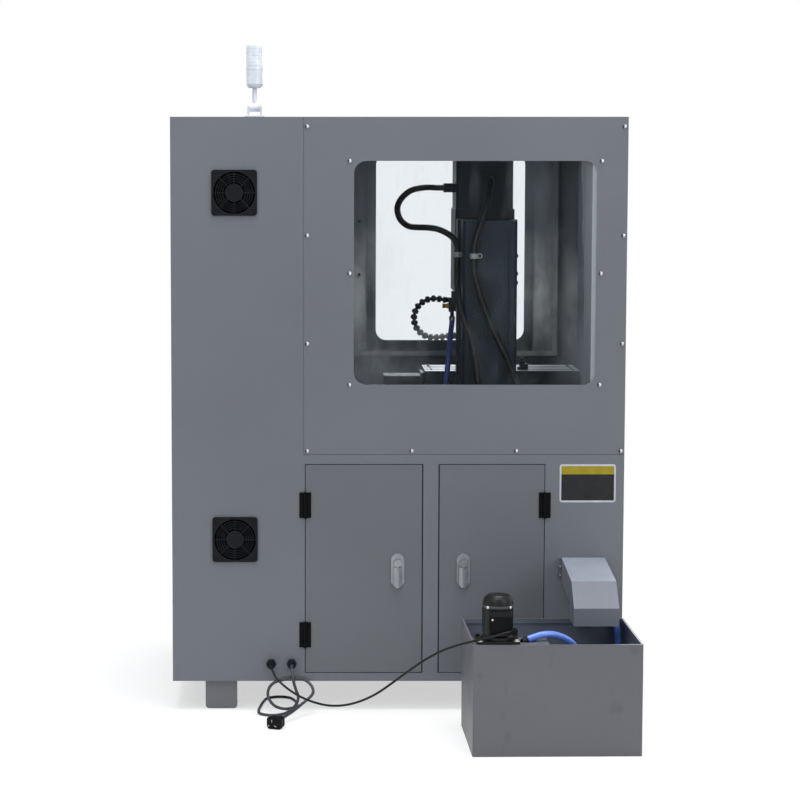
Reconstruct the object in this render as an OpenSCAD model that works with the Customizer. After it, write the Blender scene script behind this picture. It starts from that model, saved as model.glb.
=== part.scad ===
// Mini CNC milling machine in a sheet-metal enclosure, with its coolant tank and chip chute.
// The origin is the middle of the four foot anchor holes on the floor. +Z is up, the service
// side with the two base doors faces -Y and the operator's side faces +Y.

/* [Enclosure] */
// Width of the enclosure
body_w = 1200; // [1190:5:1240]
// Depth of the enclosure
body_d = 960; // [940:5:1040]
// Room between the milling machine's motor housing and the roof
roof_room = 90; // [85:5:170]
// Thickness of the enclosure's sheets
sheet = 2; // [1.5:0.25:2.5]
// Width of the electrical cabinet
cabinet_w = 349; // [346:1:352]
// Height at which the upper rear panel meets the base
panel_seam_z = 690; // [686:1:694]
// Gap between neighbouring panels
seam_gap = 1; // [0.5:0.25:1.5]
// Width of the folded flanges along the panel edges
flange_w = 22; // [18:1:26]

/* [Feet] */
// Clear height under the enclosure
foot_h = 80; // [70:1:90]
// Width of a foot
foot_w = 85; // [70:1:100]
// Depth of a foot
foot_d = 70; // [60:1:90]
// Sheet thickness of a foot
foot_t = 6; // [4:0.5:8]
// Distance of a foot's middle from the enclosure's side
foot_side = 129; // [110:1:150]
// Diameter of the anchor hole in a foot
anchor_d = 14; // [10:0.5:18]
// Spacing of the anchor holes along the depth
anchor_spacing_y = 840; // [800:5:850]

/* [Rear window] */
// Distance of the rear window from the enclosure's right side
rear_win_right = 80; // [75:1:110]
// Height of the rear window opening
rear_win_h = 589; // [560:1:600]
// Distance of the opening from the cabinet
rear_win_left = 133; // [125:1:140]
// Height of the opening's lower edge
rear_win_z = 876; // [870:1:885]
// Corner radius of the windows
win_r = 32; // [10:1:45]
// Thickness of the window panes
pane_t = 5; // [3:0.5:8]
// Overlap of the panes behind the openings
pane_lap = 25; // [20:1:28]

/* [Screws] */
// Head diameter of the panel screws
screw_head_d = 12; // [9:0.5:14]
// Shank diameter of the panel screws
screw_d = 5; // [4:0.5:6]
// Distance of the screws from a panel's edge
screw_edge = 10; // [8:0.5:12]

/* [Doors] */
// Height of the base doors' lower edge
door_z = 104; // [100:1:110]
// Height of the rail above the base doors
door_rail_h = 27; // [24:1:40]
// Share of the left base door in the width of both doors
left_door_share = 0.526; // [0.5:0.005:0.55]
// Distance of the right base door from the chute
door_chute_gap = 47.5; // [45:0.5:60]
// Distance of the left door from the cabinet
left_door_left = 6; // [5:0.5:9]
// Width of the mullion between the base doors
mullion_w = 47; // [45:1:60]
// Gap along a door's latch side
door_gap = 3.5; // [2.5:0.25:4]
// Gap along a door's other three sides
hinge_gap = 2; // [1.5:0.25:2.5]
// Depth of a door's folded edges
door_d = 16; // [12:1:20]
// Width of the stop lip behind a door
lip_w = 12; // [9:0.5:15]
// Room between a door and its stop lip
lip_gap = 4; // [2:0.5:5]
// Distance of the operator's door from the enclosure's side
front_door_side = 89; // [85:1:100]
// Height of the operator's door
front_door_h = 641; // [620:1:650]
// Height of the operator's door's lower edge
front_door_z = 879; // [870:1:890]
// Distance of the operator's door from the cabinet
front_door_left = 124; // [118:1:128]
// Distance of the operator's window from the door's upright edges
front_win_side = 95; // [90:1:105]
// Height of the operator's window opening
front_win_h = 560; // [540:1:570]

/* [Hinges] */
// Height of a door hinge
hinge_h = 68; // [60:1:80]
// Width of one hinge leaf
hinge_leaf_w = 15.5; // [13:0.5:18]
// Knuckle diameter of the hinges
hinge_knuckle_d = 10; // [9:0.5:11]
// Pin diameter of the hinges
hinge_pin_d = 5; // [4:0.5:6]
// Thickness of a hinge leaf
hinge_t = 3.2; // [3:0.2:4]
// Height of the lower hinges above the door's lower edge
hinge_low = 68; // [60:1:90]
// Distance of the upper hinges under the door's upper edge
hinge_high = 74; // [60:1:90]
// Running clearance of a hinge
hinge_clear = 0.2; // [0.1:0.05:0.4]

/* [Locks] */
// Width of a lock plate
lock_w = 35; // [31:1:38]
// Height of a lock plate
lock_h = 93; // [88:1:98]
// Height of a lock plate's middle above the door's lower edge
lock_mid = 275; // [250:1:300]
// Distance of a lock from the door's free edge
lock_edge = 64; // [60:1:68]
// Width of the lock lever
lever_w = 22; // [19:0.5:23]
// Thickness of the lock plate
lock_t = 3; // [2:0.5:4]
// Diameter of the lock spindle
lock_spindle_d = 12; // [10:0.5:14]
// Clearance round moving lock parts
lock_clear = 0.3; // [0.2:0.05:0.5]

/* [Fans] */
// Side of a fan and its finger guard
fan_size = 120; // [110:1:122]
// Depth of a fan
fan_d = 25; // [20:1:38]
// Distance of the fans' middle from the cabinet's outer side
fan_side = 167.5; // [150:0.5:180]
// Distance of the upper fan's middle under the roof
fan_drop = 198; // [180:1:220]
// Height of the lower fan's middle
fan_lower_z = 463; // [440:1:480]
// Thickness of a finger guard
guard_t = 6; // [5:0.5:8]
// Number of rings in a finger guard
guard_rings = 5; // [4:1:6]
// Number of blades on a fan wheel
fan_blades = 7; // [5:1:9]

/* [Cable glands] */
// Height of the cable glands
gland_z = 128; // [124:0.5:131]
// Width across the corners of a gland nut
gland_d = 26; // [22:0.5:28]
// Length of a gland outside the sheet
gland_len = 30; // [26:1:34]
// Diameter of the mains cord
mains_d = 8; // [7:0.25:9]
// Diameter of the pump cable
pump_cable_d = 6; // [5:0.25:7]

/* [Chip chute] */
// Width of the chute
chute_w = 115; // [110:1:120]
// Head diameter of the small chute screws
chute_screw_d = 8; // [6:0.5:8]
// Distance of the chute from the enclosure's right side
chute_right = 48.5; // [46:0.5:52]
// Height of the chute's upper edge at the enclosure
chute_top = 414; // [410:1:420]
// Inner height of the duct where it leaves the enclosure
chute_mouth_h = 60; // [56:1:64]
// Reach of the chute behind the enclosure
chute_reach = 312; // [306:1:316]
// Thickness of the chute's sheet
chute_t = 1.5; // [1:0.25:2]

/* [Coolant tank] */
// Width of the tank
tank_w = 421; // [415:1:430]
// Depth of the tank
tank_d = 344; // [340:1:350]
// Height of the tank
tank_h = 281; // [276:1:282]
// Thickness of the tank's sheet
tank_t = 2; // [1.5:0.25:3]
// Turn of the tank against the enclosure in degrees
tank_yaw = 1; // [0:0.25:2]
// Diameter of the pump motor
pump_d = 77; // [70:1:80]
// Height of the pump motor above the pump plate
pump_motor_h = 120; // [110:1:126]
// Diameter of the return hose
hose_d = 18; // [17:0.5:19]
// Diameter of the supply hose under the head
supply_d = 15; // [14:0.5:16]

/* [Milling machine] */
// Distance of the machine's middle from the enclosure's right side
machine_right = 347; // [343:1:351]
// Width of the machine base
base_w = 210; // [200:1:220]
// Height of the machine base
base_h = 68; // [60:1:70]
// Width of the column
column_w = 147; // [144:1:150]
// Depth of the column
column_d = 170; // [166:1:172]
// Height of the column above the base
column_h = 544; // [538:1:550]
// Distance of the spindle from the column's front
throat = 190; // [188:1:196]
// Width of the head
head_w = 165; // [160:1:168]
// Room between the table and the head's lower face
daylight = 225; // [220:1:230]
// Height of the head casting
head_h = 230; // [226:1:234]
// Height of the motor housing on the head
head_motor_h = 160; // [150:1:164]
// Length of the table
table_l = 436; // [420:1:440]
// Width of the table
table_w = 200; // [192:1:202]
// Thickness of the table
table_t = 42; // [38:1:44]
// Height of the saddle between base and table
saddle_h = 73; // [70:1:76]
// Offset of the table from the machine's middle
table_offset = 56; // [50:1:60]
// Number of T-slots
tslots = 3; // [1:1:4]
// Width of a T-slot
tslot_w = 10; // [8:0.5:12]
// Working clearance of the slideways
way_clear = 0.3; // [0.2:0.05:0.4]
// Diameter of the spindle nose
spindle_d = 60; // [50:1:66]
// Diameter of the cable conduits on the column
conduit_d = 18; // [17:0.5:19]

/* [Control panel] */
// Width of the control panel
control_w = 290; // [270:1:300]
// Height of the control panel
control_h = 480; // [460:1:500]
// Height of the control panel's lower edge
control_z = 940; // [900:5:980]
// Thickness of the control panel's housing
control_t = 28; // [24:1:36]
// Diameter of the emergency stop's mushroom head
stop_d = 40; // [34:1:44]
// Travel of the buttons
button_travel = 4; // [3:0.5:5]
// Diameter of the handwheel
handwheel_d = 78; // [70:1:84]

/* [Signal lamp] */
// Diameter of the lamp
lamp_d = 46; // [42:1:50]
// Height of the lamp's lens
lens_h = 70; // [60:1:80]
// Length of the pole between the knuckle and the lamp
pole_h = 38; // [30:1:45]
// Height of the fold axis above the roof
fold_h = 28; // [26:1:32]

/* [Hidden] */
$fn = 48;

// Enclosure faces
x_left = -body_w / 2;
x_right = body_w / 2;
y_rear = -body_d / 2;
y_front = body_d / 2;
cab_x = x_left + cabinet_w;
y_in = y_rear + sheet;
y_out = y_front - sheet;
tray_z = panel_seam_z + sheet;
chute_x = x_right - chute_right - chute_w;
chute_bottom = chute_top - chute_mouth_h;

// Heights of the machine stand on each other, and the roof on the machine
base_top = tray_z + base_h;
table_bottom = base_top + saddle_h;
table_top = table_bottom + table_t;
head_z = table_top + daylight;
column_top = base_top + column_h;
motor_z = head_z + head_h;
motor_top = motor_z + head_motor_h;
body_top = motor_top + roof_room;

// Base doors on the service side share the width beside the chute
door_h = panel_seam_z - door_z - door_rail_h;
doors_w = chute_x - door_chute_gap - mullion_w - left_door_left - cab_x;
left_door_w = round(doors_w * left_door_share);
right_door_w = doors_w - left_door_w;
left_door_x = cab_x + left_door_left;
right_door_x = left_door_x + left_door_w + mullion_w;
hinge_out = 6;
left_hinge_x = left_door_x - hinge_gap / 2;
right_hinge_x = right_door_x + right_door_w + hinge_gap / 2;

// Operator's door
front_door_x = cab_x + front_door_left;
front_door_w = x_right - front_door_side - front_door_x;
front_hinge_x = front_door_x + front_door_w + hinge_gap / 2;
rebate_d = door_d + lip_gap;

// Locks
lock_z = door_z + lock_mid;
left_lock_x = left_door_x + left_door_w - lock_edge;
right_lock_x = right_door_x + lock_edge;
lock_pivot_up = lock_h / 2 - 25.5;
lock_rim = 1.2;
lever_y = lock_t + lock_rim + lock_clear;
lever_t = 7.5;
tongue_w = 5;
fork_drop = 15;
cam_reach = lock_edge + door_gap + 4;
cam_gap = 2;

// Windows
rear_win_x = cab_x + rear_win_left;
rear_win_w = x_right - rear_win_right - rear_win_x;
front_win_x = front_door_x + front_win_side;
front_win_w = front_door_w - 2 * front_win_side;
front_win_z = front_door_z + 42;

// Feet
foot_x = x_right - foot_side;
foot_y = anchor_spacing_y / 2;

// Fans and glands
fan_x = x_left + fan_side;
fan_upper_z = body_top - fan_drop;
gland_x = [cab_x - 86, cab_x - 31];

// Tank under the chute's mouth; pump and shelf in the tank's own frame
tank_pos = [chute_x - 62, y_rear - 335];
pump_pos = [tank_t - tank_w / 2 + 64, tank_t - tank_d / 2 + 52.5];
pump_plate_z = tank_h - 2;
shelf_w = 190;
shelf_d = 102;
outlet_x = 65;
spigot_rise = 30;
spigot_l = 12;
// Cable entry of the terminal box, in the pump's frame
cable_entry = [22, -pump_d / 2 - 25, 35];

// Milling machine
mx = x_right - machine_right;
column_front = -150;
column_rear = column_front - column_d;
spindle_y = column_front + throat;
head_rear = column_front + 30;
motor_rear = head_rear + 24;
way_top = base_top + 8;
table_x = mx + table_offset;
table_y = spindle_y;

// Signal lamp
lamp_x = cab_x - 131;
lamp_y = -280;

// ---------------------------------------------------------------- helpers

// Outline drawn in X and Z, thickened from y0 along +Y
module upright(y0, t) {
    translate([0, y0 + t, 0]) rotate([90, 0, 0]) linear_extrude(t) children();
}

// Outline drawn in Y and Z, thickened from x0 along +X
module sideways(x0, t) {
    translate([x0, 0, 0]) rotate([90, 0, 90]) linear_extrude(t) children();
}

// Rectangle from its lower left corner, with round corners
module round_rect(w, h, r) {
    translate([r, 0]) square([w - 2 * r, h]);
    translate([0, r]) square([w, h - 2 * r]);
    for (x = [r, w - r], y = [r, h - r]) translate([x, y]) circle(r);
}

// Box between two corners
module block(a, b) { translate(a) cube(b - a); }

// Upright box with round vertical edges
module round_block(a, b, r) {
    translate(a) linear_extrude(b[2] - a[2]) round_rect(b[0] - a[0], b[1] - a[1], r);
}

// Rod along an axis: dir is the rotation that turns +Z to the rod's way
module rod(p, dir, d, l) { translate(p) rotate(dir) cylinder(d = d, h = l); }

to_rear = [90, 0, 0];
to_front = [-90, 0, 0];
to_right = [0, 90, 0];
to_left = [0, -90, 0];

// Curve through the given points, with n steps between two of them
function bend(p, n) = concat([
    for (i = [0 : len(p) - 2], k = [0 : n - 1])
        let (a = p[max(i - 1, 0)], b = p[i], c = p[i + 1], d = p[min(i + 2, len(p) - 1)],
             t = k / n)
        0.5 * (2 * b + (c - a) * t + (2 * a - 5 * b + 4 * c - d) * t * t
               + (3 * b - a - 3 * c + d) * t * t * t)
], [p[len(p) - 1]]);

function unit(v) = v / norm(v);

function heading(p, i) = unit(p[min(i + 1, len(p) - 1)] - p[max(i - 1, 0)]);

// Carries a side vector along the curve with as little twist as possible
function carried(p, i) =
    i == 0
        ? unit(cross(heading(p, 0), abs(heading(p, 0)[2]) > 0.9 ? [1, 0, 0] : [0, 0, 1]))
        : let (t = heading(p, i), v = carried(p, i - 1)) unit(v - t * (v * t));

// Closed tube of diameter d through the points p, with the given number of sides
module tube(p, d, sides) {
    n = len(p);
    frames = [for (i = [0 : n - 1]) let (u = carried(p, i)) [u, cross(heading(p, i), u)]];
    rings = [
        for (i = [0 : n - 1], k = [0 : sides - 1])
            p[i] + d / 2 * (cos(k * 360 / sides) * frames[i][0]
                            + sin(k * 360 / sides) * frames[i][1])
    ];
    skin = [
        for (i = [0 : n - 2], k = [0 : sides - 1])
            let (j = (k + 1) % sides)
            [i * sides + k, (i + 1) * sides + k, (i + 1) * sides + j, i * sides + j]
    ];
    caps = [
        [for (k = [0 : sides - 1]) k],
        [for (k = [sides - 1 : -1 : 0]) (n - 1) * sides + k]
    ];
    polyhedron(rings, concat(skin, caps), convexity = 10);
}

// Domed screw whose head seats on the service side's face at [x, z]
module rear_screw(x, z, grip, head_d) {
    translate([x, y_rear, z]) rotate(to_rear) {
        difference() {
            intersection() {
                cylinder(d = head_d, h = 3.5);
                translate([0, 0, 3.5 - head_d]) sphere(head_d, $fn = 64);
            }
            translate([0, 0, 2]) cylinder(d = screw_d * 0.7, h = 3, $fn = 6);
        }
        translate([0, 0, -grip]) cylinder(d = screw_d, h = grip + 0.5);
    }
}

screw_hole_d = screw_d + 0.6;

panel_screw_spots = concat(
    [for (z = [0, 1, 2, 3]) [cab_x + screw_edge, panel_seam_z + screw_edge
        + z * (body_top - panel_seam_z - 25 - screw_edge) / 3]],
    [for (z = [0, 1, 2, 3]) [x_right - screw_edge, panel_seam_z + screw_edge
        + z * (body_top - panel_seam_z - 25 - screw_edge) / 3]],
    [for (k = [1, 2]) [cab_x + screw_edge + k * (body_w - cabinet_w - 2 * screw_edge) / 3,
        panel_seam_z + screw_edge]]
);
pane_screw_spots = [
    for (x = [rear_win_x - 11.5, rear_win_x + rear_win_w + 11.5],
         k = [0, 1, 2]) [x, rear_win_z + k * rear_win_h / 2]
];
chute_screw_spots = [
    for (x = [chute_x - 4.6, chute_x + chute_w + 4.6], z = [chute_top - 24, chute_top - 47]) [x, z]
];

// ---------------------------------------------------------------- enclosure

// Outline of a door's opening; the latch side (-1 left, +1 right) has the wider gap
module door_cut(x, z, w, h, latch) {
    translate([x - (latch < 0 ? door_gap : hinge_gap), z - hinge_gap])
        square([w + door_gap + hinge_gap, h + 2 * hinge_gap]);
}

// Folded stop frame behind a door opening: return walls and the lip that the door closes on
module door_rebate(x, z, w, h, latch) {
    difference() {
        upright(y_in, rebate_d) offset(delta = sheet) door_cut(x, z, w, h, latch);
        upright(y_in - 1, rebate_d - sheet + 1) door_cut(x, z, w, h, latch);
        upright(y_in - 1, rebate_d + 2) offset(delta = -lip_w) door_cut(x, z, w, h, latch);
    }
}

module rear_outline() {
    difference() {
        union() {
            translate([x_left, foot_h]) square([cabinet_w, body_top - foot_h]);
            translate([x_left, foot_h]) square([body_w, panel_seam_z - foot_h]);
        }
        door_cut(left_door_x, door_z, left_door_w, door_h, 1);
        door_cut(right_door_x, door_z, right_door_w, door_h, -1);
        for (z = [fan_upper_z, fan_lower_z]) translate([fan_x, z]) {
            circle(d = fan_size - 8);
            for (sx = [-1, 1], sz = [-1, 1])
                translate([sx, sz] * (fan_size / 2 - 7.5)) circle(d = 4.5);
        }
        for (x = gland_x) translate([x, gland_z]) circle(d = gland_d - 6);
        translate([chute_x + chute_t, chute_bottom + chute_t])
            square([chute_w - 2 * chute_t, chute_mouth_h - 2 * chute_t]);
        for (s = chute_screw_spots) translate(s) circle(d = screw_hole_d);
        translate([hose_entry[0], hose_entry[2]]) circle(d = hose_d + 0.6);
    }
}

module rear_frame_panel() {
    color([0.44, 0.46, 0.49]) {
        upright(y_rear, sheet) rear_outline();
        door_rebate(left_door_x, door_z, left_door_w, door_h, 1);
        door_rebate(right_door_x, door_z, right_door_w, door_h, -1);
        // Joggled lips behind the edges of the upper panel
        difference() {
            union() {
                block([cab_x + sheet, y_in, panel_seam_z - flange_w],
                      [x_right - flange_w - sheet, y_in + sheet, panel_seam_z + flange_w]);
                block([cab_x - flange_w, y_in, panel_seam_z],
                      [cab_x - sheet, y_in + sheet, body_top - 3 * sheet]);
                block([cab_x - sheet, y_in, panel_seam_z - flange_w],
                      [cab_x + flange_w, y_in + sheet, body_top - 3 * sheet]);
            }
            for (s = panel_screw_spots) rod([s[0], y_rear - 1, s[1]], to_front, screw_hole_d, 9);
        }
    }
}

module rear_window_panel() {
    x0 = cab_x + seam_gap;
    z0 = panel_seam_z + seam_gap;
    color([0.45, 0.47, 0.5]) upright(y_rear, sheet) difference() {
        translate([x0, z0]) square([x_right - x0, body_top - z0]);
        translate([rear_win_x, rear_win_z]) round_rect(rear_win_w, rear_win_h, win_r);
        for (s = concat(panel_screw_spots, pane_screw_spots))
            translate(s) circle(d = screw_hole_d);
    }
}

module rear_window_pane() {
    color([0.75, 0.8, 0.82]) upright(y_in, pane_t) difference() {
        translate([rear_win_x - pane_lap, rear_win_z - pane_lap])
            round_rect(rear_win_w + 2 * pane_lap, rear_win_h + 2 * pane_lap, 8);
        for (s = pane_screw_spots) translate(s) circle(d = screw_hole_d);
    }
}

module panel_screws() {
    color([0.75, 0.76, 0.78]) {
        for (s = panel_screw_spots) rear_screw(s[0], s[1], 2 * sheet, screw_head_d);
        for (s = pane_screw_spots) rear_screw(s[0], s[1], sheet + pane_t, screw_head_d);
        translate([0, -chute_t, 0]) for (s = chute_screw_spots)
            rear_screw(s[0], s[1], chute_t + sheet, chute_screw_d);
    }
}

// Side wall with flanges folded inwards along its rear and front edges; s is the way inwards
module side_wall(x, s) {
    lo = min(x, x + s * sheet);
    block([lo, y_in, foot_h], [lo + sheet, y_out, body_top - sheet]);
    for (y = [y_in, y_out - sheet]) {
        edge = s > 0 ? x + sheet - 0.5 : x - flange_w;
        block([edge, y, foot_h + sheet],
              [edge + flange_w - sheet + 0.5, y + sheet, body_top - 3 * sheet]);
    }
}

module cabinet_side_panel() {
    color([0.44, 0.46, 0.49]) side_wall(x_left, 1);
}

module right_side_panel() {
    color([0.44, 0.46, 0.49]) difference() {
        side_wall(x_right, -1);
        for (s = panel_screw_spots) rod([s[0], y_rear - 1, s[1]], to_front, screw_hole_d, 9);
    }
}

module bulkhead() {
    color([0.4, 0.42, 0.44]) difference() {
        block([cab_x - sheet, y_in + sheet, foot_h + sheet],
              [cab_x, y_out, body_top - sheet]);
        // Cable passages between the cabinet and the machine room
        for (z = [tray_z + 120, tray_z - 90]) sideways(cab_x - sheet - 1, sheet + 2)
            translate([y_out - 190, z]) round_rect(110, 50, 12);
    }
}

module roof_panel() {
    color([0.46, 0.48, 0.51]) difference() {
        union() {
            block([x_left, y_in, body_top - sheet], [x_right, y_front, body_top]);
            // Edge folded down behind the upper panel
            block([cab_x + flange_w + 1, y_in, body_top - flange_w - sheet],
                  [x_right - flange_w - 1, y_in + sheet, body_top - sheet]);
            // Flat stiffening ribs under the sheet
            for (y = [-160, 160])
                block([cab_x + 20, y, body_top - sheet - 14],
                      [x_right - 40, y + 30, body_top - sheet]);
        }
        translate([lamp_x, lamp_y, body_top - 20]) cylinder(d = 12, h = 30);
    }
}

module front_frame_panel() {
    mirror([0, 1, 0]) color([0.44, 0.46, 0.49]) {
        upright(y_rear, sheet) difference() {
            translate([x_left, foot_h]) square([body_w, body_top - foot_h - sheet]);
            door_cut(front_door_x, front_door_z, front_door_w, front_door_h, -1);
            translate([control_x, control_z] + [30, 30])
                round_rect(control_w - 60, control_h - 60, 8);
        }
        door_rebate(front_door_x, front_door_z, front_door_w, front_door_h, -1);
    }
}

// Tray under the machine, with the trough that carries chips and coolant out to the chute
module chip_tray() {
    x0 = cab_x + 1;
    x1 = x_right - sheet - 1;
    y0 = y_in + sheet + 1;
    y1 = y_out - sheet - 1;
    rim = 30;
    trough_x = chute_x + chute_t;
    trough_w = chute_w - 2 * chute_t;
    floor_z = chute_bottom + chute_t;
    fall = tray_z - 40 - floor_z;
    color([0.55, 0.57, 0.58]) difference() {
        union() {
            block([x0, y0, panel_seam_z], [x1, y1, tray_z]);
            for (x = [x0, x1 - sheet]) block([x, y0, panel_seam_z], [x + sheet, y1, tray_z + rim]);
            for (y = [y0, y1 - sheet]) block([x0, y, panel_seam_z], [x1, y + sheet, tray_z + rim]);
            sideways(trough_x, trough_w) polygon([
                [y_in, floor_z], [y_in, panel_seam_z - flange_w - 1],
                [y_in + sheet + 1, panel_seam_z - flange_w - 1], [y_in + sheet + 1, panel_seam_z],
                [y1 - 60, panel_seam_z], [y1 - 60, floor_z + fall]
            ]);
        }
        sideways(trough_x + sheet, trough_w - 2 * sheet) polygon([
            [y_in - 1, floor_z + sheet], [y_in - 1, panel_seam_z - flange_w - 1 - sheet],
            [y0 + sheet, panel_seam_z - flange_w - 1 - sheet], [y0 + sheet, tray_z + 1],
            [y1 - 60 - sheet, tray_z + 1],
            [y1 - 60 - sheet, floor_z + fall + sheet]
        ]);
        for (x = [mx - base_w / 2 + 20, mx + base_w / 2 - 20], y = [-300, 170])
            translate([x, y, panel_seam_z - 1]) cylinder(d = 11, h = 4);
    }
}

// Welded frame: floor pan, four box-section posts and the rails that carry tray and machine
module base_frame() {
    post = 40;
    post_x = [cab_x + 40, chute_x - post - 12];
    post_y = [-320, 180];
    rail_z = panel_seam_z - post;
    color([0.38, 0.4, 0.42]) difference() {
        union() {
            block([x_left + sheet, y_in, foot_h], [x_right - sheet, y_out, foot_h + sheet]);
            for (x = post_x, y = post_y)
                block([x, y, foot_h], [x + post, y + post, panel_seam_z]);
            for (y = post_y) block([cab_x, y, rail_z], [post_x[1] + post, y + post, panel_seam_z]);
            for (x = post_x)
                block([x, post_y[0], rail_z], [x + post, post_y[1] + post, panel_seam_z]);
        }
        for (x = [mx - base_w / 2 + 20, mx + base_w / 2 - 20], y = post_y)
            translate([x, y + post / 2, rail_z - 1]) cylinder(d = 11, h = post + 2);
    }
}

// Foot folded from one strip: a top flange, an upright web and a bottom flange with its hole
module foot(sx, sy) {
    x0 = sx * foot_x - foot_w / 2;
    y_web = sy * (foot_y + foot_d / 2);
    translate([0, y_web, 0]) mirror([0, sy < 0 ? 1 : 0, 0]) translate([0, -foot_d, 0]) difference() {
        union() {
            block([x0, 0, foot_h - foot_t], [x0 + foot_w, foot_d, foot_h]);
            block([x0, 0, 0], [x0 + foot_w, foot_d, foot_t]);
            upright(foot_d - foot_t, foot_t) translate([x0, 0]) {
                translate([0, 10]) square([foot_w, foot_h - 10]);
                translate([10, 0]) square([foot_w - 20, 12]);
                for (x = [10, foot_w - 10]) translate([x, 10]) circle(10);
            }
        }
        for (x = [x0, x0 + foot_w]) difference() {
            translate([x - 10, -1, -1]) cube([20, foot_d + 2, 11]);
            translate([x + (x > x0 ? -10 : 10), -2, 10]) rotate(to_front) cylinder(r = 10, h = foot_d + 4);
        }
        translate([x0 + foot_w / 2, foot_d / 2, -1]) cylinder(d = anchor_d, h = foot_t + 2);
        translate([x0 + foot_w / 2, foot_d / 2, foot_h - foot_t - 1])
            cylinder(d = 11, h = foot_t + 2);
    }
}

module mounting_feet() {
    color([0.34, 0.36, 0.38]) for (sx = [-1, 1], sy = [-1, 1]) foot(sx, sy);
}

// ---------------------------------------------------------------- doors, hinges and locks

// Door folded as a shallow pan; its outer face lies on the service side's face
module pan_door(x, z, w, h) {
    difference() {
        upright(y_rear, door_d) translate([x, z]) square([w, h]);
        upright(y_in, door_d) translate([x + sheet, z + sheet])
            square([w - 2 * sheet, h - 2 * sheet]);
    }
    // Edges folded a second time, so that no cut edge faces out
    upright(y_rear + door_d - sheet, sheet) difference() {
        translate([x, z]) square([w, h]);
        translate([x + 10, z + 10]) square([w - 20, h - 20]);
    }
}

// Upright hat-section stiffener spot-welded inside a door
module stiffener(x, z, h) {
    difference() {
        block([x - 20, y_in - 0.5, z + 24], [x + 20, y_in + 10, z + h - 24]);
        block([x - 10, y_in - 1, z + 23], [x + 10, y_in + 10 - sheet, z + h - 23]);
        for (s = [-1, 1])
            block([x + s * 21 - 9, y_in + sheet, z + 23], [x + s * 21 + 9, y_in + 11, z + h - 23]);
    }
}

module base_door(x, w, lock_x, stiff_x) {
    difference() {
        union() {
            pan_door(x, door_z, w, door_h);
            stiffener(stiff_x, door_z, door_h);
        }
        rod([lock_x, y_rear - 1, lock_z + lock_pivot_up], to_front,
            lock_spindle_d + 2 * lock_clear, sheet + 2);
    }
}

module left_door() {
    color([0.43, 0.44, 0.46])
        base_door(left_door_x, left_door_w, left_lock_x, left_door_x + left_door_w / 2 - 20);
}

module right_door() {
    color([0.43, 0.44, 0.46])
        base_door(right_door_x, right_door_w, right_lock_x, right_door_x + right_door_w / 2 + 20);
}

// One hinge leaf about the axis at [0, -hinge_out]; side -1 lies to the left, +1 to the right.
// The fixed leaf holds the pin and the two outer knuckles, the door's leaf the middle one.
module hinge_leaf(side, fixed) {
    third = hinge_h / 3;
    bore = hinge_pin_d + 2 * hinge_clear;
    difference() {
        union() {
            difference() {
                translate([side > 0 ? 2 : -hinge_leaf_w, -hinge_t, -hinge_h / 2])
                    cube([hinge_leaf_w - 2, hinge_t, hinge_h]);
                for (k = [-1, 1])
                    translate([side * (hinge_leaf_w / 2 + 2), 1, k * third]) rotate(to_rear)
                        cylinder(d = 5, h = hinge_t + 2);
            }
            translate([0, -hinge_out, -hinge_h / 2]) cylinder(d = hinge_knuckle_d, h = hinge_h);
        }
        if (fixed)
            translate([0, -hinge_out, -third / 2 - hinge_clear])
                cylinder(r = hinge_out, h = third + 2 * hinge_clear);
        else {
            for (k = [0, 1]) translate([0, -hinge_out, k > 0 ? third / 2 : -hinge_h / 2 - 1])
                cylinder(r = hinge_out, h = third + 1);
            translate([0, -hinge_out, -hinge_h]) cylinder(d = bore, h = 2 * hinge_h);
        }
        for (k = [-1, 1]) translate([side * (hinge_leaf_w / 2 + 2), -hinge_t - 1, k * third])
            rotate(to_front) cylinder(d1 = 10, d2 = 5, h = 2.2);
    }
    for (k = [-1, 1]) translate([side * (hinge_leaf_w / 2 + 2), 0, k * third]) rotate(to_rear)
        cylinder(d = 4.6, h = hinge_t - 0.8);
    if (fixed)
        translate([0, -hinge_out, -hinge_h / 2 - 2]) cylinder(d = hinge_pin_d, h = hinge_h + 4);
}

function hinge_zs(z, h) = [z + hinge_low + hinge_h / 2, z + h - hinge_high - hinge_h / 2];

module rear_hinge_leaf(x, z, side, fixed) {
    translate([x, y_rear, z]) hinge_leaf(side, fixed);
}

module front_hinge_leaf(x, z, side, fixed) {
    translate([x, y_front, z]) mirror([0, 1, 0]) hinge_leaf(side, fixed);
}

module frame_hinge_leaves() {
    color([0.1, 0.1, 0.11]) {
        for (z = hinge_zs(door_z, door_h)) {
            rear_hinge_leaf(left_hinge_x, z, -1, true);
            rear_hinge_leaf(right_hinge_x, z, 1, true);
        }
        for (z = hinge_zs(front_door_z, front_door_h))
            front_hinge_leaf(front_hinge_x, z, 1, true);
    }
}

module left_door_hinges() {
    color([0.1, 0.1, 0.11])
        for (z = hinge_zs(door_z, door_h)) rear_hinge_leaf(left_hinge_x, z, 1, false);
}

module right_door_hinges() {
    color([0.1, 0.1, 0.11])
        for (z = hinge_zs(door_z, door_h)) rear_hinge_leaf(right_hinge_x, z, -1, false);
}

module front_door_hinges() {
    color([0.1, 0.1, 0.11]) for (z = hinge_zs(front_door_z, front_door_h))
        front_hinge_leaf(front_hinge_x, z, -1, false);
}

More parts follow.
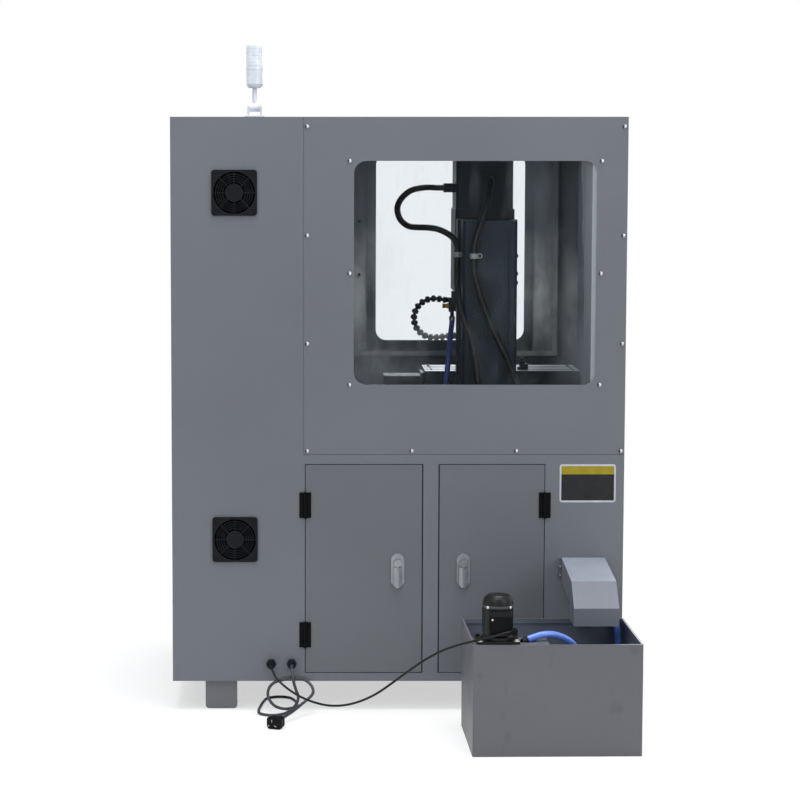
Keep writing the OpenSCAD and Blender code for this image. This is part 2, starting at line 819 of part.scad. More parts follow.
// Outline of a lock plate about its middle: round above, tapering to a blunt tip below
module lock_outline(w, h) {
    tip = w * 0.16;
    shoulder = w * 0.42;
    translate([0, h / 2 - w / 2]) circle(w / 2);
    translate([-w / 2, -h / 2 + shoulder]) square([w, h - w / 2 - shoulder]);
    polygon([
        [-w / 2, -h / 2 + shoulder], [w / 2, -h / 2 + shoulder],
        [tip + 2, -h / 2 + tip / 2], [-tip - 2, -h / 2 + tip / 2]
    ]);
    translate([0, -h / 2 + tip]) circle(tip);
}

module lock_plate(x) {
    translate([x, 0, lock_z]) difference() {
        union() {
            upright(y_rear - lock_t, lock_t) lock_outline(lock_w, lock_h);
            // Raised border with a crescent above the lever
            upright(y_rear - lock_t - lock_rim, lock_rim + 1) difference() {
                lock_outline(lock_w, lock_h);
                translate([0, lock_pivot_up]) circle(lever_w / 2 + 1.5);
                translate([-lever_w / 2 - 1.5, -lock_h / 2 - 1])
                    square([lever_w + 3, lock_h / 2 + lock_pivot_up + 1]);
            }
        }
        rod([0, y_rear - lock_t - 5, lock_pivot_up], to_front,
            lock_spindle_d + 2 * lock_clear, lock_t + 10);
    }
}

// Turning spindle with the boss and tongue that carry the lever, and the cam behind the door
module lock_cam(x) {
    cam_y = y_rear + rebate_d + sheet + cam_gap;
    translate([x, 0, lock_z + lock_pivot_up]) {
        rod([0, cam_y + 4, 0], to_rear, lock_spindle_d, cam_y + 4 - y_rear + lever_y + 2);
        rod([0, y_rear - lever_y, 0], to_rear, lever_w - 1, lever_t - 1);
        difference() {
            union() {
                block([-tongue_w / 2, y_rear - lever_y - 5.5, -fork_drop],
                      [tongue_w / 2, y_rear - lever_y - 0.5, 0]);
                rod([-tongue_w / 2, y_rear - lever_y - 3, -fork_drop], to_right, 5, tongue_w);
            }
            rod([-5, y_rear - lever_y - 3, -fork_drop], to_right, 2.6, 10);
        }
        upright(cam_y, 4) difference() {
            union() {
                circle(11);
                translate([-8, -cam_reach + 8]) square([16, cam_reach - 8]);
                translate([0, -cam_reach + 8]) circle(8);
            }
        }
    }
}

// Lever: flat-backed with a ridge along its middle, forked over the tongue and pinned to it
module lock_lever(x) {
    top = -(lever_w - 1) / 2 - lock_clear;
    foot_z = -lock_h / 2 - lock_pivot_up + 1;
    back = y_rear - lever_y;
    translate([x, 0, lock_z + lock_pivot_up]) {
        difference() {
            intersection() {
                upright(back - lever_t, lever_t) {
                    translate([-lever_w / 2, foot_z + 9]) square([lever_w, top - foot_z - 9]);
                    polygon([
                        [-lever_w / 2, foot_z + 9], [lever_w / 2, foot_z + 9],
                        [4, foot_z], [-4, foot_z]
                    ]);
                }
                linear_extrude(200, center = true) polygon([
                    [-lever_w / 2 - 1, back + 1], [-lever_w / 2 - 1, back - lever_t + 4.5],
                    [-2.5, back - lever_t], [2.5, back - lever_t],
                    [lever_w / 2 + 1, back - lever_t + 4.5], [lever_w / 2 + 1, back + 1]
                ]);
            }
            rod([0, y_rear, 0], to_rear, lever_w - 1 + 2 * lock_clear, 40);
            // Bevel round the boss, so that the lever's upper edge clears it as it lifts
            translate([0, back - 2.6, 0]) rotate(to_rear)
                cylinder(d1 = lever_w - 1 + 2 * lock_clear, d2 = lever_w + 5, h = 5);
            block([-tongue_w / 2 - lock_clear, back - 6.5, -fork_drop - 8],
                  [tongue_w / 2 + lock_clear, back + 1, 0]);
            block([-tongue_w / 2 - lock_clear, back - lever_t - 1, -fork_drop - 1],
                  [tongue_w / 2 + lock_clear, back + 1, 0]);
            // Slope behind the pin, so that the lever clears the plate as it lifts
            translate([-20, back, top - 3.2]) rotate([30, 0, 0]) cube([40, 8, 8]);
        }
        rod([-lever_w / 2 + 2, back - 3, -fork_drop], to_right, 2.2, lever_w - 4);
    }
}

module left_lock_plate() { color([0.72, 0.74, 0.76]) lock_plate(left_lock_x); }
module right_lock_plate() { color([0.72, 0.74, 0.76]) lock_plate(right_lock_x); }
module left_lock_cam() { color([0.65, 0.67, 0.7]) lock_cam(left_lock_x); }
module right_lock_cam() { color([0.65, 0.67, 0.7]) lock_cam(right_lock_x); }
module left_lock_lever() { color([0.7, 0.72, 0.74]) lock_lever(left_lock_x); }
module right_lock_lever() { color([0.7, 0.72, 0.74]) lock_lever(right_lock_x); }

module front_door() {
    handle_z = front_door_z + front_door_h / 2;
    mirror([0, 1, 0]) color([0.45, 0.47, 0.5]) difference() {
        pan_door(front_door_x, front_door_z, front_door_w, front_door_h);
        upright(y_rear - 1, door_d + 2) translate([front_win_x, front_win_z])
            round_rect(front_win_w, front_win_h, win_r);
        for (k = [-1, 1])
            rod([front_door_x + 45, y_rear - 1, handle_z + k * 80], to_front, 8, sheet + 2);
    }
}

module front_door_window() {
    mirror([0, 1, 0]) color([0.75, 0.8, 0.82]) upright(y_in, pane_t)
        translate([front_win_x - pane_lap, front_win_z - pane_lap])
        round_rect(front_win_w + 2 * pane_lap, front_win_h + 2 * pane_lap, 8);
}

// Bridge handle: two feet and a round grip
module front_door_handle() {
    handle_z = front_door_z + front_door_h / 2;
    translate([front_door_x + 45, y_front, handle_z]) color([0.12, 0.12, 0.13]) {
        for (k = [-1, 1]) translate([0, 0, k * 80]) {
            rotate(to_front) cylinder(d1 = 24, d2 = 18, h = 34, $fn = 48);
            translate([0, 34, 0]) sphere(d = 18);
            rod([0, -sheet - 3, 0], to_front, 7.4, 8);
        }
        translate([0, 34, -80]) cylinder(d = 18, h = 160);
    }
}

// ---------------------------------------------------------------- fans, glands and cords

module fan_at(z) { translate([fan_x, 0, z]) children(); }

// Finger guard outside the sheet: frame, rings, eight spokes and a hub disc
module guard() {
    bore = fan_size - 10;
    hub = fan_size / 5;
    ring_step = (bore / 2 - hub) / guard_rings;
    upright(y_rear - guard_t, guard_t) difference() {
        translate([-fan_size / 2, -fan_size / 2]) round_rect(fan_size, fan_size, 8);
        circle(d = bore);
    }
    upright(y_rear - guard_t, 3) {
        circle(hub);
        for (k = [1 : guard_rings - 1]) difference() {
            circle(hub + k * ring_step + 1.2);
            circle(hub + k * ring_step - 1.2);
        }
        for (a = [0 : 45 : 315]) rotate(a) translate([hub - 1, -1.1])
            square([bore / 2 - hub + 2, 2.2]);
    }
    for (sx = [-1, 1], sz = [-1, 1])
        translate([sx * (fan_size / 2 - 7.5), y_rear - guard_t, sz * (fan_size / 2 - 7.5)])
        rotate(to_rear) cylinder(d1 = 8, d2 = 6, h = 2);
}

// Fan frame inside the sheet: duct, four struts and the motor cup
module fan_frame() {
    bore = fan_size - 5;
    upright(y_in, fan_d) difference() {
        translate([-fan_size / 2, -fan_size / 2]) round_rect(fan_size, fan_size, 6);
        circle(d = bore);
    }
    upright(y_in + fan_d - 4, 4) {
        circle(21);
        for (a = [45 : 90 : 315]) rotate(a) translate([15, -2.5]) square([bore / 2 - 14, 5]);
    }
    rod([0, y_in + fan_d - 14, 0], to_front, 7, 11);
}

module fan_guards() {
    color([0.07, 0.07, 0.08]) for (z = [fan_upper_z, fan_lower_z]) fan_at(z) {
        guard();
        fan_frame();
    }
}

// Fan wheel: a hub cup and blades set at a pitch, each bent from a ring
module fan_wheel() {
    hub = 38;
    tip = fan_size - 10;
    width = fan_d - 10;
    translate([0, y_in + 1.5, 0]) rotate(to_front) {
        difference() {
            cylinder(d = hub, h = width + 1);
            translate([0, 0, 3]) cylinder(d = hub - 5, h = width);
            translate([0, 0, 3]) cylinder(d = 7.6, h = width);
        }
        difference() {
            cylinder(d = 12, h = width);
            translate([0, 0, 3]) cylinder(d = 7.6, h = width);
        }
        intersection() {
            difference() {
                cylinder(d = tip, h = width);
                translate([0, 0, -1]) cylinder(d = hub - 1, h = width + 2);
            }
            for (a = [0 : 360 / fan_blades : 359])
                rotate(a) translate([tip / 4 + 2, 0, width / 2]) rotate([52, 0, 0])
                cube([tip / 2, 34, 2.5], center = true);
        }
    }
}

module upper_fan_wheel() { color([0.05, 0.05, 0.06]) fan_at(fan_upper_z) fan_wheel(); }
module lower_fan_wheel() { color([0.05, 0.05, 0.06]) fan_at(fan_lower_z) fan_wheel(); }

// Cable gland: threaded body through the sheet, hexagon, and a domed sealing nut
module gland(x) {
    translate([x, y_rear, gland_z]) rotate(to_rear) {
        cylinder(d = gland_d, h = 6, $fn = 6);
        rotate_extrude() polygon([
            [0, 5], [gland_d / 2 - 1.5, 5], [gland_d / 2 - 1.5, 17],
            [gland_d / 2 - 4, 24], [gland_d / 2 - 6.5, gland_len], [0, gland_len]
        ]);
        for (a = [0 : 60 : 300]) rotate(a) translate([gland_d / 2 - 3.2, -3.5, 8])
            cube([2.4, 7, 9]);
        translate([0, 0, -sheet - 9]) cylinder(d = gland_d - 7, h = sheet + 10);
        translate([0, 0, -sheet - 5]) cylinder(d = gland_d + 1, h = 5, $fn = 6);
    }
}

module cable_glands() { color([0.06, 0.06, 0.07]) for (x = gland_x) gland(x); }

// Routes of the free cords, by hand
mains_route = [
    [-282, -510, 128], [-282, -516, 128], [-282, -526, 126], [-281, -536, 121],
    [-279, -546, 109], [-276, -550, 90], [-270, -544, 68], [-265, -537, 53], [-266, -527, 36],
    [-274, -523, 21], [-287, -527, 10], [-304, -541, 4], [-323, -553, 4], [-347, -552, 4],
    [-367, -533, 4], [-370, -495, 4], [-366, -450, 4], [-360, -400, 4], [-348, -352, 4],
    [-319, -334, 4], [-290, -345, 4], [-275, -380, 4], [-268, -425, 4], [-271, -462, 5],
    [-284, -490, 8], [-304, -505, 10], [-328, -507, 19], [-344, -501, 39], [-344, -493, 60],
    [-330, -486, 76], [-303, -486, 85], [-275, -486, 89], [-247, -486, 84], [-229, -496, 70],
    [-225, -513, 56], [-235, -533, 46], [-255, -554, 34], [-272, -578, 25], [-288, -603, 19],
    [-300, -630, 17], [-306, -646, 17]
];
pump_cable_route = [
    [-337, -510, 128], [-337, -519, 128], [-336, -529, 125], [-331, -541, 118],
    [-322, -554, 103], [-303, -571, 88], [-282, -590, 76], [-255, -612, 65], [-222, -640, 58],
    [-185, -676, 58], [-145, -716, 68], [-105, -754, 87], [-65, -788, 114], [-25, -818, 149],
    [15, -848, 186], [55, -878, 221], [95, -910, 250], [130, -942, 270], [160, -968, 284],
    [188, -987, 295], [214, -996, 303], [236, -998, 310], [248, -998, 313], [255, -998.1, 314],
    [262, -998.1, 314]
];
hose_route = [
    [307.5, -933.7, 284], [340, -930, 294], [368, -922, 294], [393, -910, 285], [415, -896, 271],
    [432, -880, 250], [445, -863, 226], [455, -847, 199], [465, -831, 171], [475, -813, 146],
    [487, -794, 124], [499, -772, 109], [515, -748, 102], [531, -724, 105], [545, -703, 118],
    [556, -688, 139], [563, -678, 169], [566, -669, 198], [565, -666, 231], [561, -665, 262],
    [555, -656, 288], [549, -636, 311], [545, -609, 325], [543, -577, 329], [543, -544, 328],
    [543, -511, 328], [543, -478, 328]
];
hose_entry = hose_route[len(hose_route) - 1];

module mains_cord() {
    color([0.32, 0.33, 0.36]) tube(mains_route, mains_d, 10);
}

module pump_cable() {
    color([0.08, 0.08, 0.09]) tube(pump_cable_route, pump_cable_d, 8);
}

module coolant_hose() {
    color([0.3, 0.45, 0.85]) tube(hose_route, hose_d, 12);
}

// Moulded plug that rests on its side on the floor: ribbed cord grip, waisted body with a
// shoulder, and three blades in front
module mains_plug() {
    at = mains_route[len(mains_route) - 1];
    way = at - mains_route[len(mains_route) - 2];
    translate([at[0], at[1], at[2]]) rotate(atan2(way[1], way[0])) color([0.05, 0.05, 0.06]) {
        // Cord grip tapering towards the cord
        rotate(to_right) {
            cylinder(d1 = mains_d + 3, d2 = mains_d + 10, h = 22);
            for (x = [3, 8, 13, 18]) translate([0, 0, x])
                cylinder(d = mains_d + 7 + x / 4, h = 2.2);
        }
        // Body: palm-wide at the grip, waisted, with a thumb collar before the blades
        union() {
            hull() {
                translate([20, 0, 0]) sideways(0, 2) square([26, 20], center = true);
                translate([34, 0, 0]) sideways(0, 8) plug_outline(40, 30);
            }
            translate([41, 0, 0]) sideways(0, 10) plug_outline(36, 26);
            translate([50, 0, 0]) sideways(0, 8) plug_outline(42, 33);
            for (b = [[0, 9, 90], [-9.5, -4, 30], [9.5, -4, -30]])
                translate([57, b[0], b[1]]) rotate([b[2], 0, 0]) translate([0, -3.2, -0.8])
                cube([19, 6.4, 1.6]);
        }
    }
}

module plug_outline(w, h) {
    translate([-w / 2, -h / 2]) round_rect(w, h, 9);
}

// ---------------------------------------------------------------- chute, tank and pump

chute_bend = [chute_reach - 69, chute_top - 21];
chute_nose = [chute_reach, chute_top - 79];
chute_lip_z = chute_top - 125;

// Side profile of the duct: reach behind the enclosure against height; t shrinks it
module chute_profile(t) {
    polygon([
        [t > 0 ? 5 : 0, chute_bottom + t], [t > 0 ? 5 : 0, chute_top - t],
        [-chute_bend[0], chute_bend[1] - t],
        [-chute_nose[0] + t, chute_nose[1] - t * 0.6],
        [-chute_nose[0] + t, chute_lip_z - (t > 0 ? 5 : 0)],
        [-chute_reach + 112 - t, chute_lip_z - (t > 0 ? 5 : 0)],
        [-chute_reach + 118 - t, chute_bottom - 23 + t]
    ]);
}

module chip_chute() {
    color([0.5, 0.52, 0.56]) {
        difference() {
            translate([0, y_rear, 0]) sideways(chute_x, chute_w) chute_profile(0);
            translate([0, y_rear, 0]) sideways(chute_x + chute_t, chute_w - 2 * chute_t)
                chute_profile(chute_t);
        }
        // Flanges screwed to the enclosure
        for (s = [0, 1]) upright(y_rear - chute_t, chute_t) difference() {
            translate([s > 0 ? chute_x + chute_w - 0.5 : chute_x - 10, chute_bottom])
                square([10.5, chute_mouth_h]);
            for (p = chute_screw_spots) translate(p) circle(d = screw_hole_d);
        }
    }
}

module in_tank() { translate([tank_pos[0], tank_pos[1], 0]) rotate(tank_yaw) children(); }

// Open tank folded from sheet, with a hemmed rim and a shelf for the pump at its left end
module coolant_tank() {
    w = tank_w;
    d = tank_d;
    color([0.47, 0.48, 0.51]) in_tank() {
        difference() {
            translate([-w / 2, -d / 2, 0]) linear_extrude(tank_h) round_rect(w, d, 4);
            translate([-w / 2 + tank_t, -d / 2 + tank_t, tank_t])
                linear_extrude(tank_h) round_rect(w - 2 * tank_t, d - 2 * tank_t, 2.5);
        }
        // Hem folded inwards round the rim
        translate([0, 0, tank_h - 12]) linear_extrude(12) difference() {
            translate([-w / 2 + 1, -d / 2 + 1]) square([w - 2, d - 2]);
            translate([-w / 2 + 2 * tank_t + 1, -d / 2 + 2 * tank_t + 1])
                square([w - 4 * tank_t - 2, d - 4 * tank_t - 2]);
        }
        // Shelf in the front corner, with the pump's hole and the delivery pipe's
        translate([-w / 2 + 1, -d / 2 + 1, 0]) difference() {
            translate([0, 0, pump_plate_z - 22]) cube([shelf_w, shelf_d, 22]);
            translate([-5, -5, pump_plate_z - 23])
                cube([shelf_w + 5 - tank_t, shelf_d + 5 - tank_t, 23 - tank_t]);
            translate([w / 2 - 1, d / 2 - 1, 0] + [pump_pos[0], pump_pos[1], pump_plate_z - 9]) {
                cylinder(d = pump_d - 14, h = 10);
                hull() for (x = [outlet_x, outlet_x + 16])
                    translate([x, 0, 0]) cylinder(d = 28, h = 10);
            }
        }
    }
}

// Pump standing on the shelf: flange, dipping barrel, delivery pipe and a fan-cooled motor
// under a flat domed cover
module coolant_pump() {
    r = pump_d / 2;
    dome = 25;
    rim = pump_motor_h - dome;
    color([0.06, 0.06, 0.07]) in_tank() translate([pump_pos[0], pump_pos[1], pump_plate_z]) {
        translate([-56, -47, 0]) linear_extrude(8) round_rect(107, 93, 8);
        for (x = [-48, 43], y = [-39, 38]) translate([x, y, 8]) cylinder(d = 11, h = 4, $fn = 6);
        rotate_extrude() polygon([
            [0, 7], [r + 4, 7], [r + 4, 16], [r - 1, 20], [r - 1, rim - 6], [r, rim - 6],
            [r, rim], [r - 0.5, rim + 1], [r - 1.5, rim + 9], [r - 4, rim + 16],
            [r - 8, rim + 21], [r - 13, rim + 24], [r - 19, rim + 25], [0, rim + 25]
        ]);
        // Cooling ribs on the rear half of the motor
        for (a = [20 : 20 : 160]) rotate(a) translate([r - 3, -1.2, 22])
            cube([5, 2.4, rim - 32]);
        translate([0, 0, -170]) cylinder(d = pump_d - 20, h = 178);
        translate([0, 0, -190]) cylinder(d = pump_d - 16, h = 24);
        // Delivery pipe with the elbow and spigot of the hose
        translate([outlet_x, 0, -64]) {
            sphere(d = 18);
            cylinder(d = 18, h = 63);
            rotate(to_left) cylinder(d = 18, h = outlet_x - 20);
        }
        translate([outlet_x, 0, -1]) {
            sphere(d = 20);
            rotate([0, 90 - spigot_rise, 0]) cylinder(d1 = 20, d2 = hose_d, h = spigot_l);
        }
    }
}

// Box with a bevelled top and a screwed lid; its gland on the right faces left, before the lid
module pump_terminal_box() {
    r = pump_d / 2;
    back = 16 - r;
    face = -r - 14;
    w = 54;
    z0 = 29;
    z1 = 83;
    color([0.1, 0.1, 0.11]) in_tank() translate([pump_pos[0], pump_pos[1], pump_plate_z]) {
        difference() {
            union() {
                sideways(-25, w) polygon([
                    [back, z0], [face, z0], [face, z1 - 12], [face + 9, z1], [back, z1]
                ]);
                upright(face - 3, 3.5) translate([-26, z0 - 1]) round_rect(w + 2, z1 - z0 - 10, 4);
            }
            translate([0, 0, -1]) cylinder(d = pump_d + 0.6, h = 120);
        }
        for (x = [-19, w - 32], z = [z0 + 6, z1 - 18]) translate([x, face - 3, z]) rotate(to_rear)
            cylinder(d1 = 6.5, d2 = 5, h = 1.6);
        block([w - 25.5, cable_entry[1] - 7, cable_entry[2] - 7],
              [w - 12, face + 12, cable_entry[2] + 7]);
        rod(cable_entry + [w - 24 - cable_entry[0], 0, 0], to_left, 11, w - 24 - cable_entry[0]);
    }
}

// ---------------------------------------------------------------- milling machine

// Dovetail outline with its root at y = 0: neck, then the spreading head
module dovetail(neck, head, root, depth) {
    polygon([
        [-neck / 2, -1], [neck / 2, -1], [neck / 2, root], [head / 2, root + depth],
        [-head / 2, root + depth], [-neck / 2, root]
    ]);
}

// Cast base with a column seat, two flat ways along Y and a bed between them
module machine_base() {
    y0 = column_rear - 12;
    y1 = spindle_y + 165;
    w = base_w / 2;
    color([0.56, 0.58, 0.58]) {
        difference() {
            translate([mx, 0, tray_z]) union() {
                upright(y0, y1 - y0) polygon([
                    [-w, 0], [w, 0], [w, 22], [w - 16, 40], [w - 16, base_h],
                    [-w + 16, base_h], [-w + 16, 40], [-w, 22]
                ]);
                // Dovetail way for the saddle
                translate([0, 0, base_h]) upright(column_front + 20, y1 - column_front - 20)
                    dovetail(96, 112, 0, 16);
            }
            for (x = [-w + 20, w - 20], y = [-300, 170]) translate([mx + x, y, tray_z - 1]) {
                cylinder(d = 11, h = base_h + 30);
                translate([0, 0, 24]) cylinder(d = 30, h = base_h);
            }
            // Core openings in the front face
            for (x = [-62, 62]) translate([mx + x, y1 - 8, tray_z + 18])
                block([-16, 0, -9], [16, 20, 9]);
        }
        for (x = [-w + 20, w - 20], y = [-300, 170]) translate([mx + x, y, panel_seam_z])
            cylinder(d = 10, h = 26);
        // Motor of the saddle's screw
        translate([mx, y1 - 0.5, tray_z + 38]) rotate(to_front) {
            linear_extrude(12) translate([-28, -28]) round_rect(56, 56, 6);
            linear_extrude(62) translate([-25, -25]) round_rect(50, 50, 12);
        }
    }
}

// Hollow-backed cast column with a foot flange, a front flange and the head's dovetail way
module column() {
    w = column_w / 2;
    flange = w + 8.5;
    z0 = base_top;
    color([0.6, 0.62, 0.62]) difference() {
        union() {
            translate([mx, 0, z0]) linear_extrude(column_top - z0) {
                translate([-w, column_rear]) round_rect(2 * w, column_d - 50, 14);
                translate([-flange, column_front - 60]) round_rect(2 * flange, 60, 5);
                translate([-w, column_rear + 40]) square([2 * w, column_d - 80]);
            }
            translate([mx - w - 20, column_rear - 10, z0])
                linear_extrude(24) round_rect(2 * w + 40, column_d + 14, 10);
            for (s = [-1, 1]) translate([mx + s * w - (s > 0 ? 1 : 0), column_rear + 30, z0])
                sideways(s > 0 ? 0 : -13, 14) polygon([[0, 20], [80, 20], [80, 120]]);
            // Dovetail way
            translate([mx, column_front, way_top + 150])
                linear_extrude(column_top - way_top - 160) dovetail(84, 100, 30, 18);
        }
        // Recess in the rear face
        translate([mx, 0, 0]) upright(column_rear - 1, 5) translate([-w + 22, z0 + 60])
            round_rect(2 * w - 44, column_top - z0 - 110, 10);
        for (s = [-1, 1], y = [column_rear + 4, column_front - 14])
            translate([mx + s * (w + 12), y, z0 - 1]) cylinder(d = 9, h = 40);
    }
    // Screws that clamp the way strip, on both sides
    color([0.6, 0.62, 0.62]) for (s = [-1, 1], z = [100, 149, 174])
        rod([mx + s * flange, column_front - 40, column_top - z], s > 0 ? to_right : to_left, 10, 4);
    color([0.6, 0.62, 0.62]) for (s = [-1, 1], y = [column_rear + 4, column_front - 14])
        translate([mx + s * (w + 12), y, z0 + 10]) cylinder(d = 8.6, h = 20);
}

// Saddle between base and table: dovetail groove below along Y, dovetail above along X
module saddle() {
    l = 120;
    w = base_w / 2 - 16;
    top = table_bottom - way_clear;
    c = way_clear;
    color([0.55, 0.57, 0.58]) difference() {
        union() {
            block([mx - w, table_y - l / 2, base_top + c], [mx + w, table_y + l / 2, top - 2]);
            sideways(mx - w, 2 * w) translate([table_y, top - 2]) dovetail(70, 86, 2, 16);
        }
        translate([mx, 0, base_top]) upright(table_y - l / 2 - 1, l + 2) polygon([
            [-48 - c, -1], [48 + c, -1], [56 + c, 16 + c], [-56 - c, 16 + c]
        ]);
        // Oil pockets beside the groove
        for (s = [-1, 1]) translate([mx + s * (w - 14), table_y, top - 6])
            cylinder(d = 12, h = 8);
    }
}

// Table with T-slots above and the saddle's dovetail groove below, with a clamp in a slot
module table() {
    l = table_l;
    w = table_w / 2;
    pitch = table_w / (tslots + 1);
    c = way_clear;
    color([0.68, 0.7, 0.71]) {
        difference() {
            sideways(table_x - l / 2, l) translate([table_y, 0]) difference() {
                translate([-w, table_bottom]) square([2 * w, table_t]);
                for (k = [1 : tslots]) translate([-w + k * pitch, table_top]) {
                    translate([-tslot_w / 2, -16]) square([tslot_w, 17]);
                    translate([-tslot_w / 2 - 4, -16]) square([tslot_w + 8, 7]);
                }
                polygon([
                    [-35 - c, table_bottom - 1], [35 + c, table_bottom - 1],
                    [43 + c, table_bottom + 16 + c], [-43 - c, table_bottom + 16 + c]
                ]);
            }
            // Coolant grooves at both ends
            for (x = [table_x - l / 2 + 14, table_x + l / 2 - 22])
                block([x, table_y - w + 12, table_top - 4], [x + 8, table_y + w - 12, table_top + 1]);
        }
        // Step clamp, its stud and nut
        translate([table_x + 60, table_y - w + pitch, 0]) {
            difference() {
                translate([-14, -9, table_top]) linear_extrude(16) round_rect(30, 18, 3);
                block([-20, -10, table_top + 8], [-8, 10, table_top + 20]);
                cylinder(d = 8.6, h = table_top + 40);
            }
            translate([0, 0, table_top - 8]) cylinder(d = 8, h = 42);
            translate([0, 0, table_top + 16]) cylinder(d = 16, h = 8, $fn = 6);
            translate([-8.5, -8.5, table_top - 15.5]) cube([17, 17, 6]);
            translate([-4.5, -4.5, table_top - 10]) cube([9, 9, 5]);
        }
    }
}

// Cover of the motor at the table's left end, on its bearing plate
module table_motor_cover() {
    x1 = table_x - table_l / 2;
    color([0.5, 0.52, 0.53]) {
        block([x1 - 10, table_y - 74, table_bottom - 32], [x1, table_y + 34, table_top - 8]);
        translate([0, 0, table_bottom - 40]) difference() {
            translate([x1 - 114, table_y - 80, 0])
                linear_extrude(table_t + 24) round_rect(104.5, 100, 8);
            for (z = [16 : 8 : 44])
                block([x1 - 116, table_y - 50, z], [x1 - 112, table_y + 0, z + 3]);
        }
    }
}

// Head casting with its dovetail groove, spindle nose ring and the motor housing above
module head() {
    w = head_w / 2;
    c = way_clear;
    z1 = motor_z;
    front = spindle_y + 62;
    color([0.62, 0.64, 0.64]) {
        difference() {
            union() {
                translate([mx, 0, head_z]) linear_extrude(head_h)
                    translate([-w, head_rear]) round_rect(2 * w, front - head_rear, 16);
                translate([mx, spindle_y, head_z - 12]) cylinder(d = 100, h = 20);
                translate([mx, 0, z1 - 0.5]) linear_extrude(head_motor_h + 0.5)
                    translate([-w + 3, motor_rear])
                    round_rect(2 * w - 6, front - motor_rear - 17, 10);
                // Cover plate on the rear of the motor housing
                translate([mx, 0, z1]) upright(motor_rear - 3, 4) translate([-43, 8])
                    round_rect(2 * 56.5, head_motor_h - 20, 4);
            }
            // Groove for the column's way
            translate([mx, 0, head_z - 1]) linear_extrude(head_h + 2) {
                translate([-50 - c, head_rear - 1]) square([100 + 2 * c, 19 + c]);
            }
            // Bore of the spindle
            translate([mx, spindle_y, head_z - 20])
                cylinder(d = spindle_d + 2 * way_clear, h = head_h - 20);
            // Cooling slots on both sides of the motor housing
            for (s = [-1, 1], k = [0 : 7])
                translate([mx + s * (w - 3), spindle_y - 25, z1 + 40 + 12 * k])
                block([-2, 0, 0], [2, 50, 5]);
        }
        // Gib strips that close the groove behind the way's shoulders
        for (s = [-1, 1]) translate([mx, 0, head_z]) linear_extrude(head_h) polygon([
            [s * (50 + c - 0.01), head_rear], [s * (42 + c), head_rear],
            [s * (50 + c - 0.01), head_rear + 17]
        ]);
        // Gland of the rear conduit
        rod([mx + 13, motor_rear - 2, z1 + 84], to_rear, 26, 20);
        // Sleeve of the side conduit
        rod([mx - w + 4, head_rear + 42, z1 + 59], to_left, 26, side_sleeve_x - w + 4);
    }
}

// Spindle with its nose, collet nut and an end mill
module spindle() {
    color([0.78, 0.79, 0.8]) translate([mx, spindle_y, 0]) difference() {
        union() {
            translate([0, 0, head_z - 35]) cylinder(d = spindle_d, h = head_h - 30);
            translate([0, 0, head_z - 57]) cylinder(d1 = 38, d2 = 42, h = 22.5);
            translate([0, 0, head_z - 82]) cylinder(d = 8, h = 30);
        }
        for (a = [0 : 60 : 300]) rotate(a) translate([22, 0, head_z - 60])
            cylinder(d = 9, h = 21);
        for (a = [0, 180]) rotate(a) translate([1.2, 0, head_z - 84]) cube([6, 6, 22]);
    }
}

// Cable conduits: loops between head and clamps, and the fixed runs down to the tray
clamp_z = column_top - 86;
side_clamp = [mx - 84.5, column_rear + 82];
rear_clamp = [mx - 46, column_rear - 20];
side_sleeve_x = 114;
gland_y = motor_rear - 22;
side_loop = [
    [mx - 114, -78, motor_z + 59], [mx - 124, -78, motor_z + 59], [mx - 134, -78, motor_z + 59],
    [mx - 160, -80, motor_z + 60], [mx - 195, -90, motor_z + 55], [mx - 217, -100, motor_z + 44],
    [mx - 234, -110, motor_z + 27], [mx - 243, -120, motor_z + 8], [mx - 243, -132, motor_z - 9],
    [mx - 237, -144, motor_z - 26], [mx - 225, -156, motor_z - 39],
    [mx - 206, -170, motor_z - 47], [mx - 166, -196, motor_z - 48],
    [mx - 140, -212, motor_z - 51], [mx - 117, -224, motor_z - 60],
    [mx - 99, -232, motor_z - 72], [mx - 88, -237, motor_z - 86],
    [mx - 84.5, -238, clamp_z + 10], [mx - 84.5, -238, clamp_z + 5], [mx - 84.5, -238, clamp_z]
];
rear_loop = [
    [mx + 13, gland_y, motor_z + 84], [mx + 13, gland_y - 8, motor_z + 84],
    [mx + 13, gland_y - 16, motor_z + 84], [mx + 11, -180, motor_z + 83],
    [mx + 7, -228, motor_z + 75], [mx + 1, -268, motor_z + 58], [mx - 6, -300, motor_z + 34],
    [mx - 14, -324, motor_z + 6], [mx - 25, -338, motor_z - 26], [mx - 36, -342, motor_z - 56],
    [mx - 43, -341, motor_z - 84], [mx - 46, -340, clamp_z + 10], [mx - 46, -340, clamp_z + 5],
    [mx - 46, -340, clamp_z]
];
side_run = [
    [mx - 84.5, -238, clamp_z], [mx - 84.5, -238, clamp_z - 9], [mx - 84.5, -238, clamp_z - 18],
    [mx - 85, -243, 1176], [mx - 86, -257, 1150], [mx - 86, -288, 1118], [mx - 84, -316, 1086],
    [mx - 77, -334, 1056],
    [mx - 67, -342, 1025], [mx - 51, -344, 985], [mx - 40, -344, 930], [mx - 33, -344, 870],
    [mx - 29, -348, base_top + 40], [mx - 28, column_rear - 32, tray_z + 43],
    [mx - 28, column_rear - 32, tray_z + 20], [mx - 28, column_rear - 32, tray_z]
];
